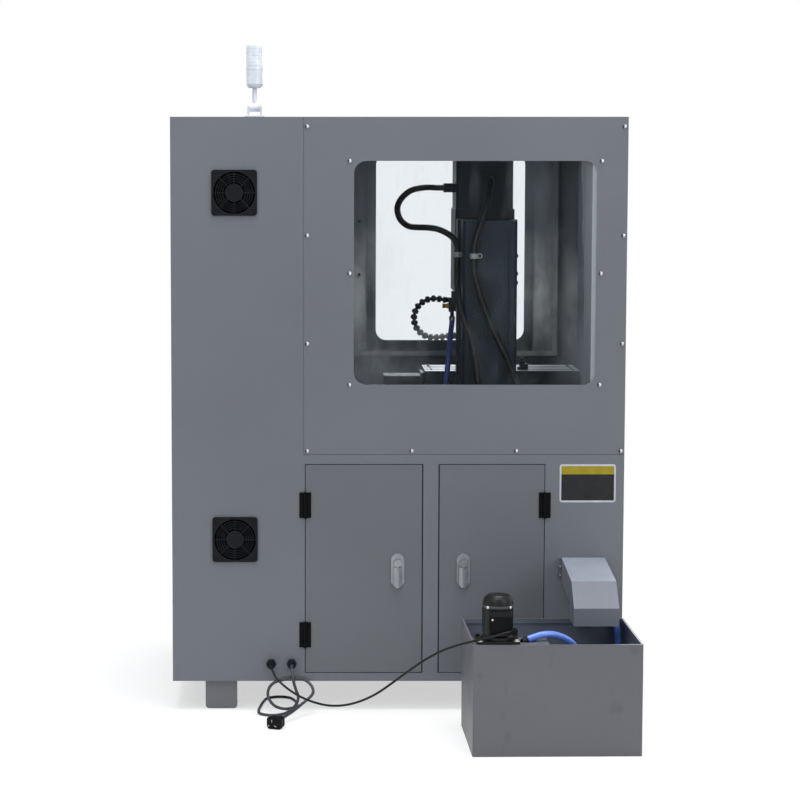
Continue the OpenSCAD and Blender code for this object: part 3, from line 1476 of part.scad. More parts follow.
rear_run = [
    [mx - 46, -340, clamp_z], [mx - 46, -340, clamp_z - 6], [mx - 46, -340, clamp_z - 12],
    [mx - 45, -341, 1170], [mx - 36, -343, 1130], [mx - 17, -344, 1070], [mx + 9, -344, 1008],
    [mx + 35, -344, 955], [mx + 57, -344, 906], [mx + 72, -344, 862],
    [mx + 82, -348, base_top + 40], [mx + 84, column_rear - 32, tray_z + 43],
    [mx + 84, column_rear - 32, tray_z + 20], [mx + 84, column_rear - 32, tray_z]
];

module head_conduits() {
    color([0.22, 0.23, 0.25]) {
        tube(bend(side_loop, 2), conduit_d, 10);
        tube(bend(rear_loop, 2), conduit_d, 10);
    }
}

// Strap of a clamp round a conduit that runs along Z at p, 11 mm before the face it is
// screwed to; the face lies towards +Y before the turn, and the foot on side +X. A spacer
// carries a clamp that stands off its face
module conduit_clamp(p, turn, spacer = 0) {
    r = conduit_d / 2;
    translate(p) rotate(turn) {
        difference() {
            union() {
                translate([0, 0, -7]) cylinder(r = r + 1.8, h = 14);
                upright(r - 1, 3) {
                    translate([0, -7]) square([r + 8, 14]);
                    translate([r + 8, 0]) circle(7);
                }
            }
            translate([0, 0, -8]) cylinder(r = r + 0.3, h = 16);
        }
        rod([r + 8, r + 2, 0], to_rear, 6, 6);
        if (spacer > 0) rod([r + 8, r + 2 + spacer, 0], to_rear, 11, spacer + 1);
    }
}

module column_conduits() {
    color([0.22, 0.23, 0.25]) {
        tube(bend(side_run, 2), conduit_d, 10);
        tube(bend(rear_run, 2), conduit_d, 10);
        for (x = [mx - 28, mx + 84]) translate([x, column_rear - 32, tray_z]) difference() {
            cylinder(d = conduit_d + 14, h = 6);
            translate([0, 0, -1]) cylinder(d = conduit_d + 0.6, h = 8);
        }
        conduit_clamp([side_clamp[0], side_clamp[1], clamp_z - 8], -90);
        conduit_clamp([rear_clamp[0], rear_clamp[1], clamp_z - 8], 0, 13);
    }
}

// Coolant: manifold under the head, valve, articulated nozzle hose and the supply hose
manifold_x = mx - 96;
manifold_y = -50;
manifold_z = head_z - 56;
valve_z = manifold_z + 14;
valve_x = manifold_x - 9;
link_pitch = 16.5;

module coolant_manifold() {
    color([0.35, 0.36, 0.38]) translate([manifold_x, manifold_y, manifold_z]) {
        round_block([0, -16, 0], [26, 16, 38], 4);
        translate([15, 0, 37]) cylinder(d = 16, h = head_z - manifold_z - 37);
        // Barb for the supply hose, between two small plugs
        translate([10, 0, -14]) cylinder(d = supply_d - 4, h = 15);
        for (x = [3.5, 22]) translate([x, -9, -3]) cylinder(d = 6, h = 4, $fn = 6);
        // Socket of the nozzle hose
        translate([1, 0, 31]) rotate(to_left) difference() {
            cylinder(d1 = 13, d2 = 18.8, h = 16);
            translate([0, 0, 13]) sphere(7.3);
        }
    }
    color([0.75, 0.6, 0.3]) translate([manifold_x, manifold_y, valve_z]) rotate(to_left)
        difference() {
            union() {
                translate([0, 0, -0.5]) cylinder(d = 15, h = 4.5, $fn = 6);
                translate([0, 0, 3]) cylinder(d = 12, h = 6);
            }
            translate([0, 0, 1]) cylinder(d = 5.6, h = 12);
        }
}

// Fluted knob of the needle valve, on its stem
module valve_knob() {
    color([0.75, 0.6, 0.3]) translate([valve_x, manifold_y, valve_z]) rotate(to_left) {
        translate([0, 0, -7]) cylinder(d = 5, h = 9);
        translate([0, 0, 0.4]) difference() {
            cylinder(d = 13, h = 8);
            for (a = [0 : 45 : 315]) rotate(a) translate([7.6, 0, -1]) cylinder(d = 4, h = 10, $fn = 16);
        }
    }
}

// One link of the articulated hose: ball, neck and the socket that grips the next ball
module hose_link() {
    ball = 7;
    grip = ball + 0.3;
    rotate_extrude() difference() {
        union() {
            intersection() {
                circle(ball);
                translate([0, -5]) square([ball, 12]);
            }
            translate([0, 4]) square([4.6, 6]);
            polygon([[0, 8], [6, 8], [9.4, 11], [9.4, 18.6], [8.4, 19.5], [0, 19.5]]);
        }
        translate([0, link_pitch]) circle(grip);
        translate([-1, -10]) square([3.2, 40]);
        translate([-20, -20]) square([20, 60]);
    }
}

// Turn of each joint along the hose, in degrees; the first link leaves the manifold rising
link_turns = [-10, 7, 15, 17, 17, 17, 17, 17, 17, 17, 17, 17, 16, 6, 0, -4, 0];
link_start = [manifold_x - 12, manifold_y, manifold_z + 31];
// Lean of the whole chain towards the spindle, away from the supply hose
chain_lean = 6;

function link_angle(i) = i == 0 ? link_turns[0] : link_angle(i - 1) + link_turns[i];
function link_place(i) = i == 0
    ? [0, 0]
    : link_place(i - 1) + link_pitch * [-cos(link_angle(i - 1)), -sin(link_angle(i - 1))];

module nozzle_hose() {
    last = len(link_turns) - 1;
    color([0.25, 0.35, 0.6]) translate(link_start) rotate([chain_lean, 0, 0]) for (i = [0 : last]) {
        p = link_place(i);
        translate([p[0], 0, p[1]]) rotate([0, -90 - link_angle(i), 0])
            if (i < last) hose_link();
            else difference() {
                rotate_extrude() polygon([
                    [0, -5], [4.9, -5], [6.6, -2.2], [7, 0], [6.4, 2.8], [4.6, 5.2], [4.6, 8],
                    [7.5, 10], [7.5, 14], [4, 38], [0, 38]
                ]);
                translate([0, 0, -9]) cylinder(d = 4.4, h = 60);
            }
    }
}

supply_route = [
    [manifold_x + 10, manifold_y, manifold_z - 14], [manifold_x + 10, manifold_y, manifold_z - 22],
    [manifold_x + 10, manifold_y, manifold_z - 30], [manifold_x + 8, -56, manifold_z - 46],
    [manifold_x + 4, -77, manifold_z - 69], [manifold_x, -107, manifold_z - 96],
    [manifold_x - 3, -131, manifold_z - 122], [manifold_x - 7, -143, manifold_z - 149],
    [manifold_x - 11, -148, manifold_z - 190], [manifold_x - 14, -150, manifold_z - 245],
    [manifold_x - 19, -150, tray_z + 68],
    [manifold_x - 23, -150, tray_z + 44], [manifold_x - 24, -150, tray_z + 24],
    [manifold_x - 24, -150, tray_z + 12], [manifold_x - 24, -150, tray_z]
];

module supply_hose() {
    color([0.3, 0.45, 0.85]) tube(bend(supply_route, 2), supply_d, 12);
}

// ---------------------------------------------------------------- operator's side and lamp

control_x = x_left + (cabinet_w - control_w) / 2;
screen_w = 190;
screen_h = 118;
screen_z = control_h - screen_h - 34;
key_rows = 5;
key_columns = 8;
face_y = y_front + control_t;
stop_at = [control_w - 52, 62];
start_at = [control_w - 52, 132];
knob_at = [control_w - 52, 196];
wheel_at = [92, 92];

// A part of the control panel at a place on its face, with +Z pointing to the operator
module on_panel(at) {
    translate([control_x + at[0], face_y, control_z + at[1]]) rotate(to_front) children();
}

module control_panel() {
    color([0.2, 0.21, 0.23]) difference() {
        union() {
            translate([0, 0, 0]) upright(y_front, control_t) translate([control_x, control_z])
                round_rect(control_w, control_h, 14);
            // Membrane keys
            for (i = [0 : key_columns - 1], j = [0 : key_rows - 1])
                on_panel([16 + i * 25, screen_z - 24 - j * 20])
                translate([0, -13, -0.5]) linear_extrude(1.3) round_rect(20, 15, 3);
            on_panel(stop_at) cylinder(d = stop_d + 14, h = 2);
            on_panel(start_at) cylinder(d = 32, h = 2);
            on_panel(wheel_at) cylinder(d = handwheel_d + 10, h = 4);
            for (a = [0 : 30 : 330]) on_panel(knob_at) rotate(a) translate([19, -0.7, -0.5])
                cube([5, 1.4, 1.1]);
        }
        // Hollow back
        upright(y_front - 1, control_t - 5) translate([control_x + 6, control_z + 6])
            round_rect(control_w - 12, control_h - 12, 8);
        on_panel([20, screen_z]) translate([0, -screen_h, -3])
            translate([0, 0, 0]) linear_extrude(9) round_rect(screen_w + 0.6, screen_h + 0.6, 5);
        on_panel(stop_at) translate([0, 0, -20]) cylinder(d = 20.6, h = 40);
        on_panel(start_at) translate([0, 0, -20]) cylinder(d = 22.6, h = 40);
        for (p = [knob_at, wheel_at]) on_panel(p) translate([0, 0, -20]) cylinder(d = 8.6, h = 40);
    }
}

module display_screen() {
    color([0.05, 0.07, 0.1]) on_panel([20, screen_z]) translate([0.3, 0.3 - screen_h, -3])
        linear_extrude(3.4) round_rect(screen_w, screen_h, 5);
}

// Mushroom head on a stem that slides through the panel
module emergency_stop() {
    color([0.8, 0.06, 0.05]) on_panel(stop_at) {
        rotate_extrude() polygon([
            [0, -18], [10, -18], [10, 14], [stop_d / 2, 15], [stop_d / 2 + 1, 19],
            [stop_d / 2 - 1, 24], [stop_d / 2 - 6, 27.5], [8, 29.5], [0, 30]
        ]);
    }
}

module start_button() {
    color([0.1, 0.5, 0.2]) on_panel(start_at) rotate_extrude() polygon([
        [0, -14], [11, -14], [11, 8], [10, 9], [0, 9.6]
    ]);
}

module feed_knob() {
    color([0.1, 0.1, 0.11]) on_panel(knob_at) {
        difference() {
            union() {
                translate([0, 0, 0.8]) cylinder(d = 33, h = 5);
                translate([0, 0, 5]) cylinder(d = 25, h = 14);
            }
            for (a = [0 : 30 : 330]) rotate(a + 15) translate([13.3, 0, 7]) cylinder(d = 3, h = 14);
            translate([-0.8, 3, 17.6]) cube([1.6, 12, 4]);
        }
        translate([0, 0, -16]) cylinder(d = 8, h = 18);
    }
}

// Handwheel: knurled rim disc, dished face and a crank grip
module handwheel() {
    r = handwheel_d / 2;
    color([0.15, 0.15, 0.16]) on_panel(wheel_at) {
        difference() {
            translate([0, 0, 4.6]) rotate_extrude() polygon([
                [0, 0], [r - 1, 0], [r, 1], [r, 13], [r - 1, 14], [r - 9, 14], [r - 12, 9],
                [14, 9], [11, 14], [0, 14]
            ]);
            for (a = [0 : 15 : 345]) rotate(a) translate([r + 1, 0, 0]) cylinder(d = 4, h = 30);
        }
        translate([0, 0, -16]) cylinder(d = 8, h = 22);
        translate([r - 22, 0, 12]) cylinder(d = 12, h = 24);
        translate([r - 22, 0, 36]) sphere(d = 12);
    }
}

// Foot plate and fork of the fold joint
module lamp_base() {
    color([0.45, 0.47, 0.5]) translate([lamp_x, lamp_y, body_top]) {
        linear_extrude(5) translate([-26, -19]) round_rect(52, 38, 8);
        for (s = [-1, 1]) translate([s > 0 ? 14 : -20, 0, 0]) sideways(0, 6) {
            translate([0, fold_h]) circle(13);
            translate([-13, 4]) square([26, fold_h - 4]);
        }
        rod([-20, 0, fold_h], to_right, 9.6, 40);
        for (x = [-18, 18]) translate([x, 13, 5]) cylinder(d = 6, h = 2);
    }
}

// Lamp that folds about the knuckle: barrel, pole, round-bottomed body and ribbed lens
module signal_lamp() {
    z_body = fold_h + 13 + pole_h;
    body_h = 50;
    r = lamp_d / 2;
    color([0.85, 0.87, 0.9]) translate([lamp_x, lamp_y, body_top]) difference() {
        union() {
            rod([-13.7, 0, fold_h], to_right, 24, 27.4);
            translate([0, 0, fold_h]) cylinder(d = 13, h = z_body - fold_h + 5);
            rotate_extrude() polygon([
                [0, z_body], [r - 9, z_body], [r - 3, z_body + 4], [r - 0.6, z_body + 11],
                [r - 0.6, z_body + body_h], [r, z_body + body_h + 0.5],
                [r, z_body + body_h + lens_h - 6], [r - 2, z_body + body_h + lens_h - 1.5],
                [r - 6, z_body + body_h + lens_h], [0, z_body + body_h + lens_h]
            ]);
        }
        rod([-20, 0, fold_h], to_right, 10, 40);
        // Grooves between the lens's ribs
        for (k = [0 : 5]) translate([0, 0, z_body + body_h + 8 + k * 9]) difference() {
            cylinder(r = r + 2, h = 2);
            translate([0, 0, -1]) cylinder(r = r - 1, h = 4);
        }
    }
}

// ---------------------------------------------------------------- nodes

rear_frame_panel();
rear_window_panel();
rear_window_pane();
panel_screws();
cabinet_side_panel();
bulkhead();
right_side_panel();
roof_panel();
front_frame_panel();
chip_tray();
base_frame();
mounting_feet();
left_door();
right_door();
frame_hinge_leaves();
left_door_hinges();
right_door_hinges();
left_lock_plate();
left_lock_cam();
left_lock_lever();
right_lock_plate();
right_lock_cam();
right_lock_lever();
front_door();
front_door_window();
front_door_handle();
front_door_hinges();
fan_guards();
upper_fan_wheel();
lower_fan_wheel();
cable_glands();
mains_cord();
mains_plug();
pump_cable();
coolant_tank();
coolant_pump();
pump_terminal_box();
coolant_hose();
chip_chute();
machine_base();
column();
saddle();
table();
table_motor_cover();
head();
spindle();
head_conduits();
column_conduits();
coolant_manifold();
valve_knob();
nozzle_hose();
supply_hose();
control_panel();
display_screen();
emergency_stop();
start_button();
feed_knob();
handwheel();
lamp_base();
signal_lamp();
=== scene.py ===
import math

import bpy
import bmesh
from mathutils import Matrix, Vector


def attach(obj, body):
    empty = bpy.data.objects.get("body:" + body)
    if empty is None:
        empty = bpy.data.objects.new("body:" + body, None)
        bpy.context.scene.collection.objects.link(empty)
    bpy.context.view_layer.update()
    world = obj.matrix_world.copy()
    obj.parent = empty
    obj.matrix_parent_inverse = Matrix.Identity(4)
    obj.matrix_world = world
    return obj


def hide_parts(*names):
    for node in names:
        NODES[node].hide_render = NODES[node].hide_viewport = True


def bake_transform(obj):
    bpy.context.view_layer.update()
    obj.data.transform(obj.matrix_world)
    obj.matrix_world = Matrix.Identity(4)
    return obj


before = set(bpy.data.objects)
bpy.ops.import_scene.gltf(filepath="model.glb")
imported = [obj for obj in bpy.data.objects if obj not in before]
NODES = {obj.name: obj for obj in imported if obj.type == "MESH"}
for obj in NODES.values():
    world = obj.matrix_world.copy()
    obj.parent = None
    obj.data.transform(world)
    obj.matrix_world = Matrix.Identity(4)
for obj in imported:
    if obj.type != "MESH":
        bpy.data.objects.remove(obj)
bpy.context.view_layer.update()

BODY = "enclosure"

# ---------------------------------------------------------------- camera

CAMERA_AT = (-0.2514, -6.961, 1.494)
CAMERA_TILT = 5.8
camera_data = bpy.data.cameras.new("camera")
camera_data.sensor_width = 36
camera_data.lens = 110.84
camera_data.shift_x = 0.121
camera = bpy.data.objects.new("camera", camera_data)
camera.location = CAMERA_AT
camera.rotation_euler = (math.radians(90 - CAMERA_TILT), 0, 0)
bpy.context.scene.collection.objects.link(camera)
bpy.context.scene.camera = camera
bpy.context.scene.view_settings.view_transform = "Standard"


# ---------------------------------------------------------------- places on the object, in metres

# Coolant tank: middle, turn about Z, half its clear size inside and the top of the painted inner
# shade
TANK_AT = (0.3745, -0.815, 0.0)
TANK_YAW = math.radians(1)
TANK_INSIDE = (0.2093, 0.1708)
TANK_SHADE_TOP = 0.2775
# Bare plate: middle, size, width of its rim and height from which it is yellow
PLATE_AT = (0.5035, -0.480, 0.6135)
PLATE_SIZE = (0.149, 0.102)
PLATE_RIM = (0.0045, 0.005)
PLATE_BAND_Z = 0.6375
# Plug: end of the cord in it, turn about Z and where its blades leave the body
PLUG_AT = (-0.306, -0.646, 0.017)
PLUG_YAW = math.radians(-110.56)
PLUG_FACE = 0.0583
# Manifold: right end and top of its brass union
UNION_RIGHT = 0.1569
UNION_TOP = 1.0664
# Nozzle hose: heights between which its links turn dull
LINKS_DULL = (1.016, 0.996)
# Lamp: height at which its lens begins
LENS_Z = 1.709
# Front window: lower corners, as (x, z), with dried mist around them
MIST_AT = ((-0.05, 1.02), (0.41, 1.01))
# Rear window: height below which dust gathers, depth over which it does, the window's middle,
# which stays clearer, and the left edge of its sealing strip
DUST_TOP = 1.34
DUST_DEPTH = 0.42
WINDOW_MIDDLE = 0.25
STRIP_LEFT = 0.507
# Half the width of a sharp change of finish
SHARP_EDGE = 0.0004


# ---------------------------------------------------------------- materials

def linear(rgb):
    """Linear colour of an sRGB colour given in 0 to 255."""
    out = []
    for value in rgb:
        c = value / 255
        out.append(c / 12.92 if c <= 0.04045 else ((c + 0.055) / 1.055) ** 2.4)
    return (*out, 1.0)


def shade(rgb, k):
    """Colour made k times as bright, up to white."""
    return tuple(min(255, c * k) for c in rgb)


class Tree:
    """Small helper that adds shader nodes and links them."""

    def __init__(self, name):
        self.material = bpy.data.materials.new(name)
        self.material.use_nodes = True
        self.nodes = self.material.node_tree.nodes
        self.links = self.material.node_tree.links
        self.nodes.clear()
        self.output = self.nodes.new("ShaderNodeOutputMaterial")
        self.place = self.nodes.new("ShaderNodeTexCoord").outputs["Object"]

    def add(self, kind, values=None, **inputs):
        node = self.nodes.new("ShaderNode" + kind)
        for key, value in (values or {}).items():
            setattr(node, key, value)
        for key, value in inputs.items():
            self.put(node.inputs[key.replace("_", " ")], value)
        return node

    def put(self, socket, value):
        if isinstance(value, bpy.types.NodeSocket):
            self.links.new(value, socket)
        else:
            socket.default_value = value

    def noise(self, scale, detail=3.0, rough=0.5, stretch=None):
        where = self.place
        if stretch:
            where = self.add("Mapping", Vector=self.place, Scale=stretch).outputs[0]
        return self.add(
            "TexNoise", Vector=where, Scale=scale, Detail=detail, Roughness=rough
        ).outputs["Fac"]

    def ramp(self, fac, stops):
        node = self.add("ValToRGB", Fac=fac)
        ramp = node.color_ramp
        while len(ramp.elements) < len(stops):
            ramp.elements.new(0.5)
        for element, (at, colour) in zip(ramp.elements, stops):
            element.position = at
            element.color = colour
        return node.outputs["Color"]

    def levels(self, fac, low, high, out_low=0.0, out_high=1.0):
        node = self.add("MapRange", Value=fac)
        for key, value in zip(
            ("From Min", "From Max", "To Min", "To Max"), (low, high, out_low, out_high)
        ):
            node.inputs[key].default_value = value
        return node.outputs[0]

    def mix(self, fac, a, b):
        node = self.add("Mix", {"data_type": "RGBA"})
        self.put(node.inputs[0], fac)
        self.put(node.inputs[6], a)
        self.put(node.inputs[7], b)
        return node.outputs[2]

    def math(self, operation, a, b=0.0):
        node = self.add("Math", {"operation": operation})
        self.put(node.inputs[0], a)
        self.put(node.inputs[1], b)
        return node.outputs[0]

    def bump(self, height, strength, distance):
        return self.add("Bump", Strength=strength, Distance=distance, Height=height).outputs[0]

    def axis(self, letter):
        return self.add("SeparateXYZ", Vector=self.place).outputs[letter]

    def finish(self, shader):
        self.links.new(shader, self.output.inputs["Surface"])
        return self.material


def surface(name, rgb, rough=0.45, spread=0.08, scale=5.0, grain=0.0, grain_scale=900.0,
            metallic=0.0, coat=0.0, specular=0.5, streak=None, rough_spread=0.08):
    """Painted, moulded or machined surface with a cloudy tone and fine grain."""
    t = Tree(name)
    cloud = t.noise(scale, 4.0, 0.55)
    tone = t.ramp(cloud, [(0.3, linear(shade(rgb, 1 - spread))),
                          (0.5, linear(rgb)),
                          (0.72, linear(shade(rgb, 1 + spread)))])
    fine = t.noise(grain_scale, 2.0, 0.5, stretch=streak)
    tone = t.mix(0.10, tone, t.ramp(fine, [(0.35, linear(shade(rgb, 0.8))),
                                           (0.65, linear(shade(rgb, 1.2)))]))
    roughness = t.levels(t.noise(scale * 2.3, 3.0), 0.3, 0.7,
                         max(0.02, rough - rough_spread), min(1.0, rough + rough_spread))
    inputs = dict(Base_Color=tone, Roughness=roughness, Metallic=metallic)
    if grain > 0:
        inputs["Normal"] = t.bump(fine, 0.6, grain)
    shader = t.add("BsdfPrincipled", **inputs)
    shader.inputs["Specular IOR Level"].default_value = specular
    shader.inputs["Coat Weight"].default_value = coat
    shader.inputs["Coat Roughness"].default_value = 0.15
    return t.finish(shader.outputs[0])


def powder_coat(name, rgb, smears=0.35):
    """Fine powder coat with a cloudy tone, faint smears and rare small marks."""
    t = Tree(name)
    tone, speck = coat_layers(t, rgb, smears, smudge=0.0)
    return coat_shader(t, tone, speck, rough=0.42)


def coat_layers(t, rgb, smears, smudge):
    """Tone of a powder coat: cloud, smears, small marks, smudges and grain."""
    cloud = t.noise(1.3, 4.0, 0.5)
    tone = t.ramp(cloud, [(0.3, linear(shade(rgb, 0.965))), (0.7, linear(shade(rgb, 1.035)))])
    smear = t.levels(t.noise(2.2, 5.0, 0.6, stretch=(1.0, 1.0, 2.4)), 0.56, 0.80)
    tone = t.mix(t.math("MULTIPLY", smear, 0.22 * smears), tone, linear(shade(rgb, 1.28)))
    marks = t.levels(t.noise(31.0, 6.0, 0.72), 0.69, 0.76)
    tone = t.mix(t.math("MULTIPLY", marks, 0.5 * smears), tone, linear(shade(rgb, 0.72)))
    if smudge:
        touch = t.levels(t.noise(15.0, 2.0, 0.5, stretch=(1.0, 1.0, 0.8)), 0.63, 0.74)
        tone = t.mix(t.math("MULTIPLY", touch, smudge), tone, linear(shade(rgb, 0.76)))
    speck = t.noise(1500.0, 1.0, 0.5)
    tone = t.mix(0.10, tone, t.ramp(speck, [(0.35, linear(shade(rgb, 0.8))),
                                            (0.65, linear(shade(rgb, 1.2)))]))
    return tone, speck


def coat_shader(t, tone, speck, rough, specular=0.42):
    """Shader of a powder coat with the given tone and grain."""
    roughness = t.levels(t.noise(3.1, 4.0), 0.3, 0.7, rough - 0.06, rough + 0.09)
    shader = t.add("BsdfPrincipled", Base_Color=tone, Roughness=roughness,
                   Normal=t.bump(speck, 0.35, 0.00012))
    shader.inputs["Specular IOR Level"].default_value = specular
    return t.finish(shader.outputs[0])


def tank_finish(name, rgb):
    """Coated tank whose inner walls below the rim carry painted shade, a bluer tone."""
    t = Tree(name)
    tone, speck = coat_layers(t, rgb, smears=1.6, smudge=0.6)
    own = t.add("Mapping", {"vector_type": "TEXTURE"}, Vector=t.place,
                Location=TANK_AT, Rotation=(0.0, 0.0, TANK_YAW))
    own = t.add("SeparateXYZ", Vector=own.outputs[0])
    inside = t.math("MULTIPLY",
                    t.math("LESS_THAN", t.math("ABSOLUTE", own.outputs["X"]), TANK_INSIDE[0]),
                    t.math("LESS_THAN", t.math("ABSOLUTE", own.outputs["Y"]), TANK_INSIDE[1]))
    inside = t.math("MULTIPLY", inside, t.math("LESS_THAN", own.outputs["Z"], TANK_SHADE_TOP))
    # Painted shade: the inner walls below the rim take this bluer tone in place of the coat
    film_and_shade = t.ramp(t.noise(6.0, 4.0), [(0.3, linear((88, 93, 106))),
                                      (0.7, linear((98, 103, 117)))])
    return coat_shader(t, t.mix(inside, tone, film_and_shade), speck, rough=0.45)


def chute_finish(name, rgb):
    """Coated chute with a painted highlight, a paler tone, on the faces that look up."""
    t = Tree(name)
    tone, speck = coat_layers(t, rgb, smears=1.5, smudge=0.5)
    up = t.add("SeparateXYZ", Vector=t.add("TexCoord").outputs["Normal"]).outputs["Z"]
    cloud = t.noise(14.0, 4.0, 0.6)
    # Painted highlight: a paler tone on the faces that look up, as if lit from above
    dust_and_top_light = t.ramp(cloud, [(0.3, linear((134, 140, 152))), (0.7, linear((146, 152, 164)))])
    tone = t.mix(t.levels(up, 0.84, 0.96), tone, dust_and_top_light)
    return coat_shader(t, tone, speck, rough=0.46, specular=0.3)


def stained_and_shaded_inside(name, rgb):
    """Coated panel whose inner face carries painted shade, darker at the top, and dried mist below
    the front window.
    """
    t = Tree(name)
    tone, speck = coat_layers(t, rgb, smears=0.35, smudge=0.0)
    own = t.add("SeparateXYZ", Vector=t.add("TexCoord").outputs["Normal"])
    inside = t.math("LESS_THAN", own.outputs["Y"], -0.5)
    x, z = t.axis("X"), t.axis("Z")
    drift = t.noise(7.0, 5.0, 0.62, stretch=(1.6, 1.0, 0.7))
    mist = None
    for corner in MIST_AT:
        away = t.math("SQRT", t.math("ADD",
                                     t.math("POWER", t.math("SUBTRACT", x, corner[0]), 2.0),
                                     t.math("POWER", t.math("SUBTRACT", z, corner[1]), 2.0)))
        near = t.levels(away, 0.25, 0.06)
        mist = near if mist is None else t.math("MAXIMUM", mist, near)
    mist = t.math("MULTIPLY", mist, t.levels(drift, 0.36, 0.66, 0.25, 1.0))
    # Painted shade on the inner face: a darker tone than the coat, darker still towards the top
    high = t.levels(z, 0.95, 1.45)
    dull_and_shade = t.mix(high, linear((88, 92, 98)), linear((48, 52, 58)))
    streaks = t.levels(drift, 0.4, 0.75)
    dull_and_shade = t.mix(t.math("MULTIPLY", streaks, 0.22), dull_and_shade, linear((136, 140, 144)))
    dull_and_shade = t.mix(t.math("MULTIPLY", mist, 0.9), dull_and_shade, linear((204, 206, 206)))
    return coat_shader(t, t.mix(inside, tone, dull_and_shade), speck, rough=0.42)


def clear_sheet(name, haze, tint, dusty_below=None, strip_from=None):
    """Clear plastic pane with a gloss, fine dust and wiped smears.

    Dust may thicken below a height, and a pale sealing strip may back its edge.
    """
    t = Tree(name)
    smear = t.levels(t.noise(3.4, 6.0, 0.62, stretch=(1.3, 1.0, 0.8)), 0.52, 0.82)
    wipe = t.levels(t.noise(8.0, 5.0, 0.65, stretch=(1.8, 1.0, 0.6)), 0.55, 0.80)
    dust_and_top_light = t.math("MULTIPLY", t.math("ADD", smear, t.math("MULTIPLY", wipe, 0.6)), haze)
    dust_and_top_light = t.math("ADD", dust_and_top_light, 0.002)
    if dusty_below is not None:
        low = t.levels(t.axis("Z"), dusty_below, dusty_below - DUST_DEPTH)
        puff = t.levels(t.noise(4.6, 4.0, 0.6), 0.42, 0.72)
        from_middle = t.math("ABSOLUTE", t.math("SUBTRACT", t.axis("X"), WINDOW_MIDDLE))
        aside = t.levels(from_middle, 0.14, 0.26)
        low = t.math("MULTIPLY", t.math("MULTIPLY", low, aside), puff)
        dust_and_top_light = t.math("ADD", dust_and_top_light, t.math("MULTIPLY", low, haze * 1.1))
    if strip_from is not None:
        wave = t.levels(t.noise(3.0, 2.0, 0.5), 0.3, 0.7, -0.016, 0.016)
        film_and_shade = t.levels(t.math("ADD", t.axis("X"), wave), strip_from - 0.030, strip_from - 0.026)
        dust_and_top_light = t.math("MAXIMUM", dust_and_top_light, t.math("MULTIPLY", film_and_shade, haze * 0.8))
        strip = t.levels(t.axis("X"), strip_from, strip_from + 0.0015)
        dust_and_top_light = t.math("MAXIMUM", dust_and_top_light, t.math("MULTIPLY", strip, 0.45))
    see = t.add("BsdfTransparent", Color=tint)
    milk = t.add("BsdfDiffuse", Color=linear((178, 184, 190)))
    body = t.add("MixShader", Fac=dust_and_top_light)
    t.links.new(see.outputs[0], body.inputs[1])
    t.links.new(milk.outputs[0], body.inputs[2])
    gloss = t.add("BsdfGlossy", Color=(0.8, 0.83, 0.86, 1), Roughness=0.06)
    fresnel = t.add("Fresnel", IOR=1.12)
    out = t.add("MixShader", Fac=fresnel.outputs[0])
    t.links.new(body.outputs[0], out.inputs[1])
    t.links.new(gloss.outputs[0], out.inputs[2])
    return t.finish(out.outputs[0])


def two_tone(name, low, high, split):
    """Two finishes on one piece, below and above a height: colour, roughness and metallic."""
    t = Tree(name)
    fac = t.levels(t.axis("Z"), split - SHARP_EDGE, split + SHARP_EDGE)
    shaders = []
    for rgb, rough, metallic in (low, high):
        cloud = t.noise(30.0, 3.0)
        tone = t.ramp(cloud, [(0.3, linear(shade(rgb, 0.93))), (0.7, linear(shade(rgb, 1.07)))])
        node = t.add("BsdfPrincipled", Base_Color=tone, Metallic=metallic,
                     Roughness=t.levels(cloud, 0.3, 0.7, rough * 0.85, rough * 1.15))
        shaders.append(node)
    out = t.add("MixShader", Fac=fac)
    t.links.new(shaders[0].outputs[0], out.inputs[1])
    t.links.new(shaders[1].outputs[0], out.inputs[2])
    return t.finish(out.outputs[0])


def plug_finish(name):
    """Black moulded plug with bare metal blades."""
    t = Tree(name)
    own = t.add("Mapping", {"vector_type": "TEXTURE"}, Vector=t.place,
                Location=PLUG_AT, Rotation=(0.0, 0.0, PLUG_YAW))
    own = t.add("SeparateXYZ", Vector=own.outputs[0])
    blade = t.math("GREATER_THAN", own.outputs["X"], PLUG_FACE)
    cloud = t.noise(60.0, 3.0)
    body = t.ramp(cloud, [(0.3, linear((14, 14, 16))), (0.7, linear((20, 20, 23)))])
    metal = t.ramp(cloud, [(0.3, linear((168, 166, 156))), (0.7, linear((200, 198, 188)))])
    shader = t.add("BsdfPrincipled", Base_Color=t.mix(blade, body, metal), Metallic=blade,
                   Roughness=t.levels(blade, 0.0, 1.0, 0.45, 0.25))
    shader.inputs["Specular IOR Level"].default_value = 0.12
    return t.finish(shader.outputs[0])


def screw_head(name):
    """Plated domed heads with painted shade on their rims and on faces turned to the left."""
    t = Tree(name)
    facing = t.add("SeparateXYZ", Vector=t.add("NewGeometry").outputs["Normal"])
    # Painted shade: dark rims away from the front and dark faces turned to the left
    painted_rim_shade = t.math("MAXIMUM", t.levels(facing.outputs["Y"], -0.965, -0.90),
                  t.levels(facing.outputs["X"], -0.08, -0.16))
    cloud = t.noise(300.0, 3.0)
    bright = t.ramp(cloud, [(0.35, linear((196, 198, 202))), (0.65, linear((226, 228, 232)))])
    tone = t.mix(painted_rim_shade, bright, linear((44, 45, 48)))
    shader = t.add("BsdfPrincipled", Base_Color=tone, Roughness=t.levels(cloud, 0.3, 0.7, 0.3, 0.5),
                   Metallic=t.levels(painted_rim_shade, 0.0, 1.0, 0.85, 0.1))
    return t.finish(shader.outputs[0])


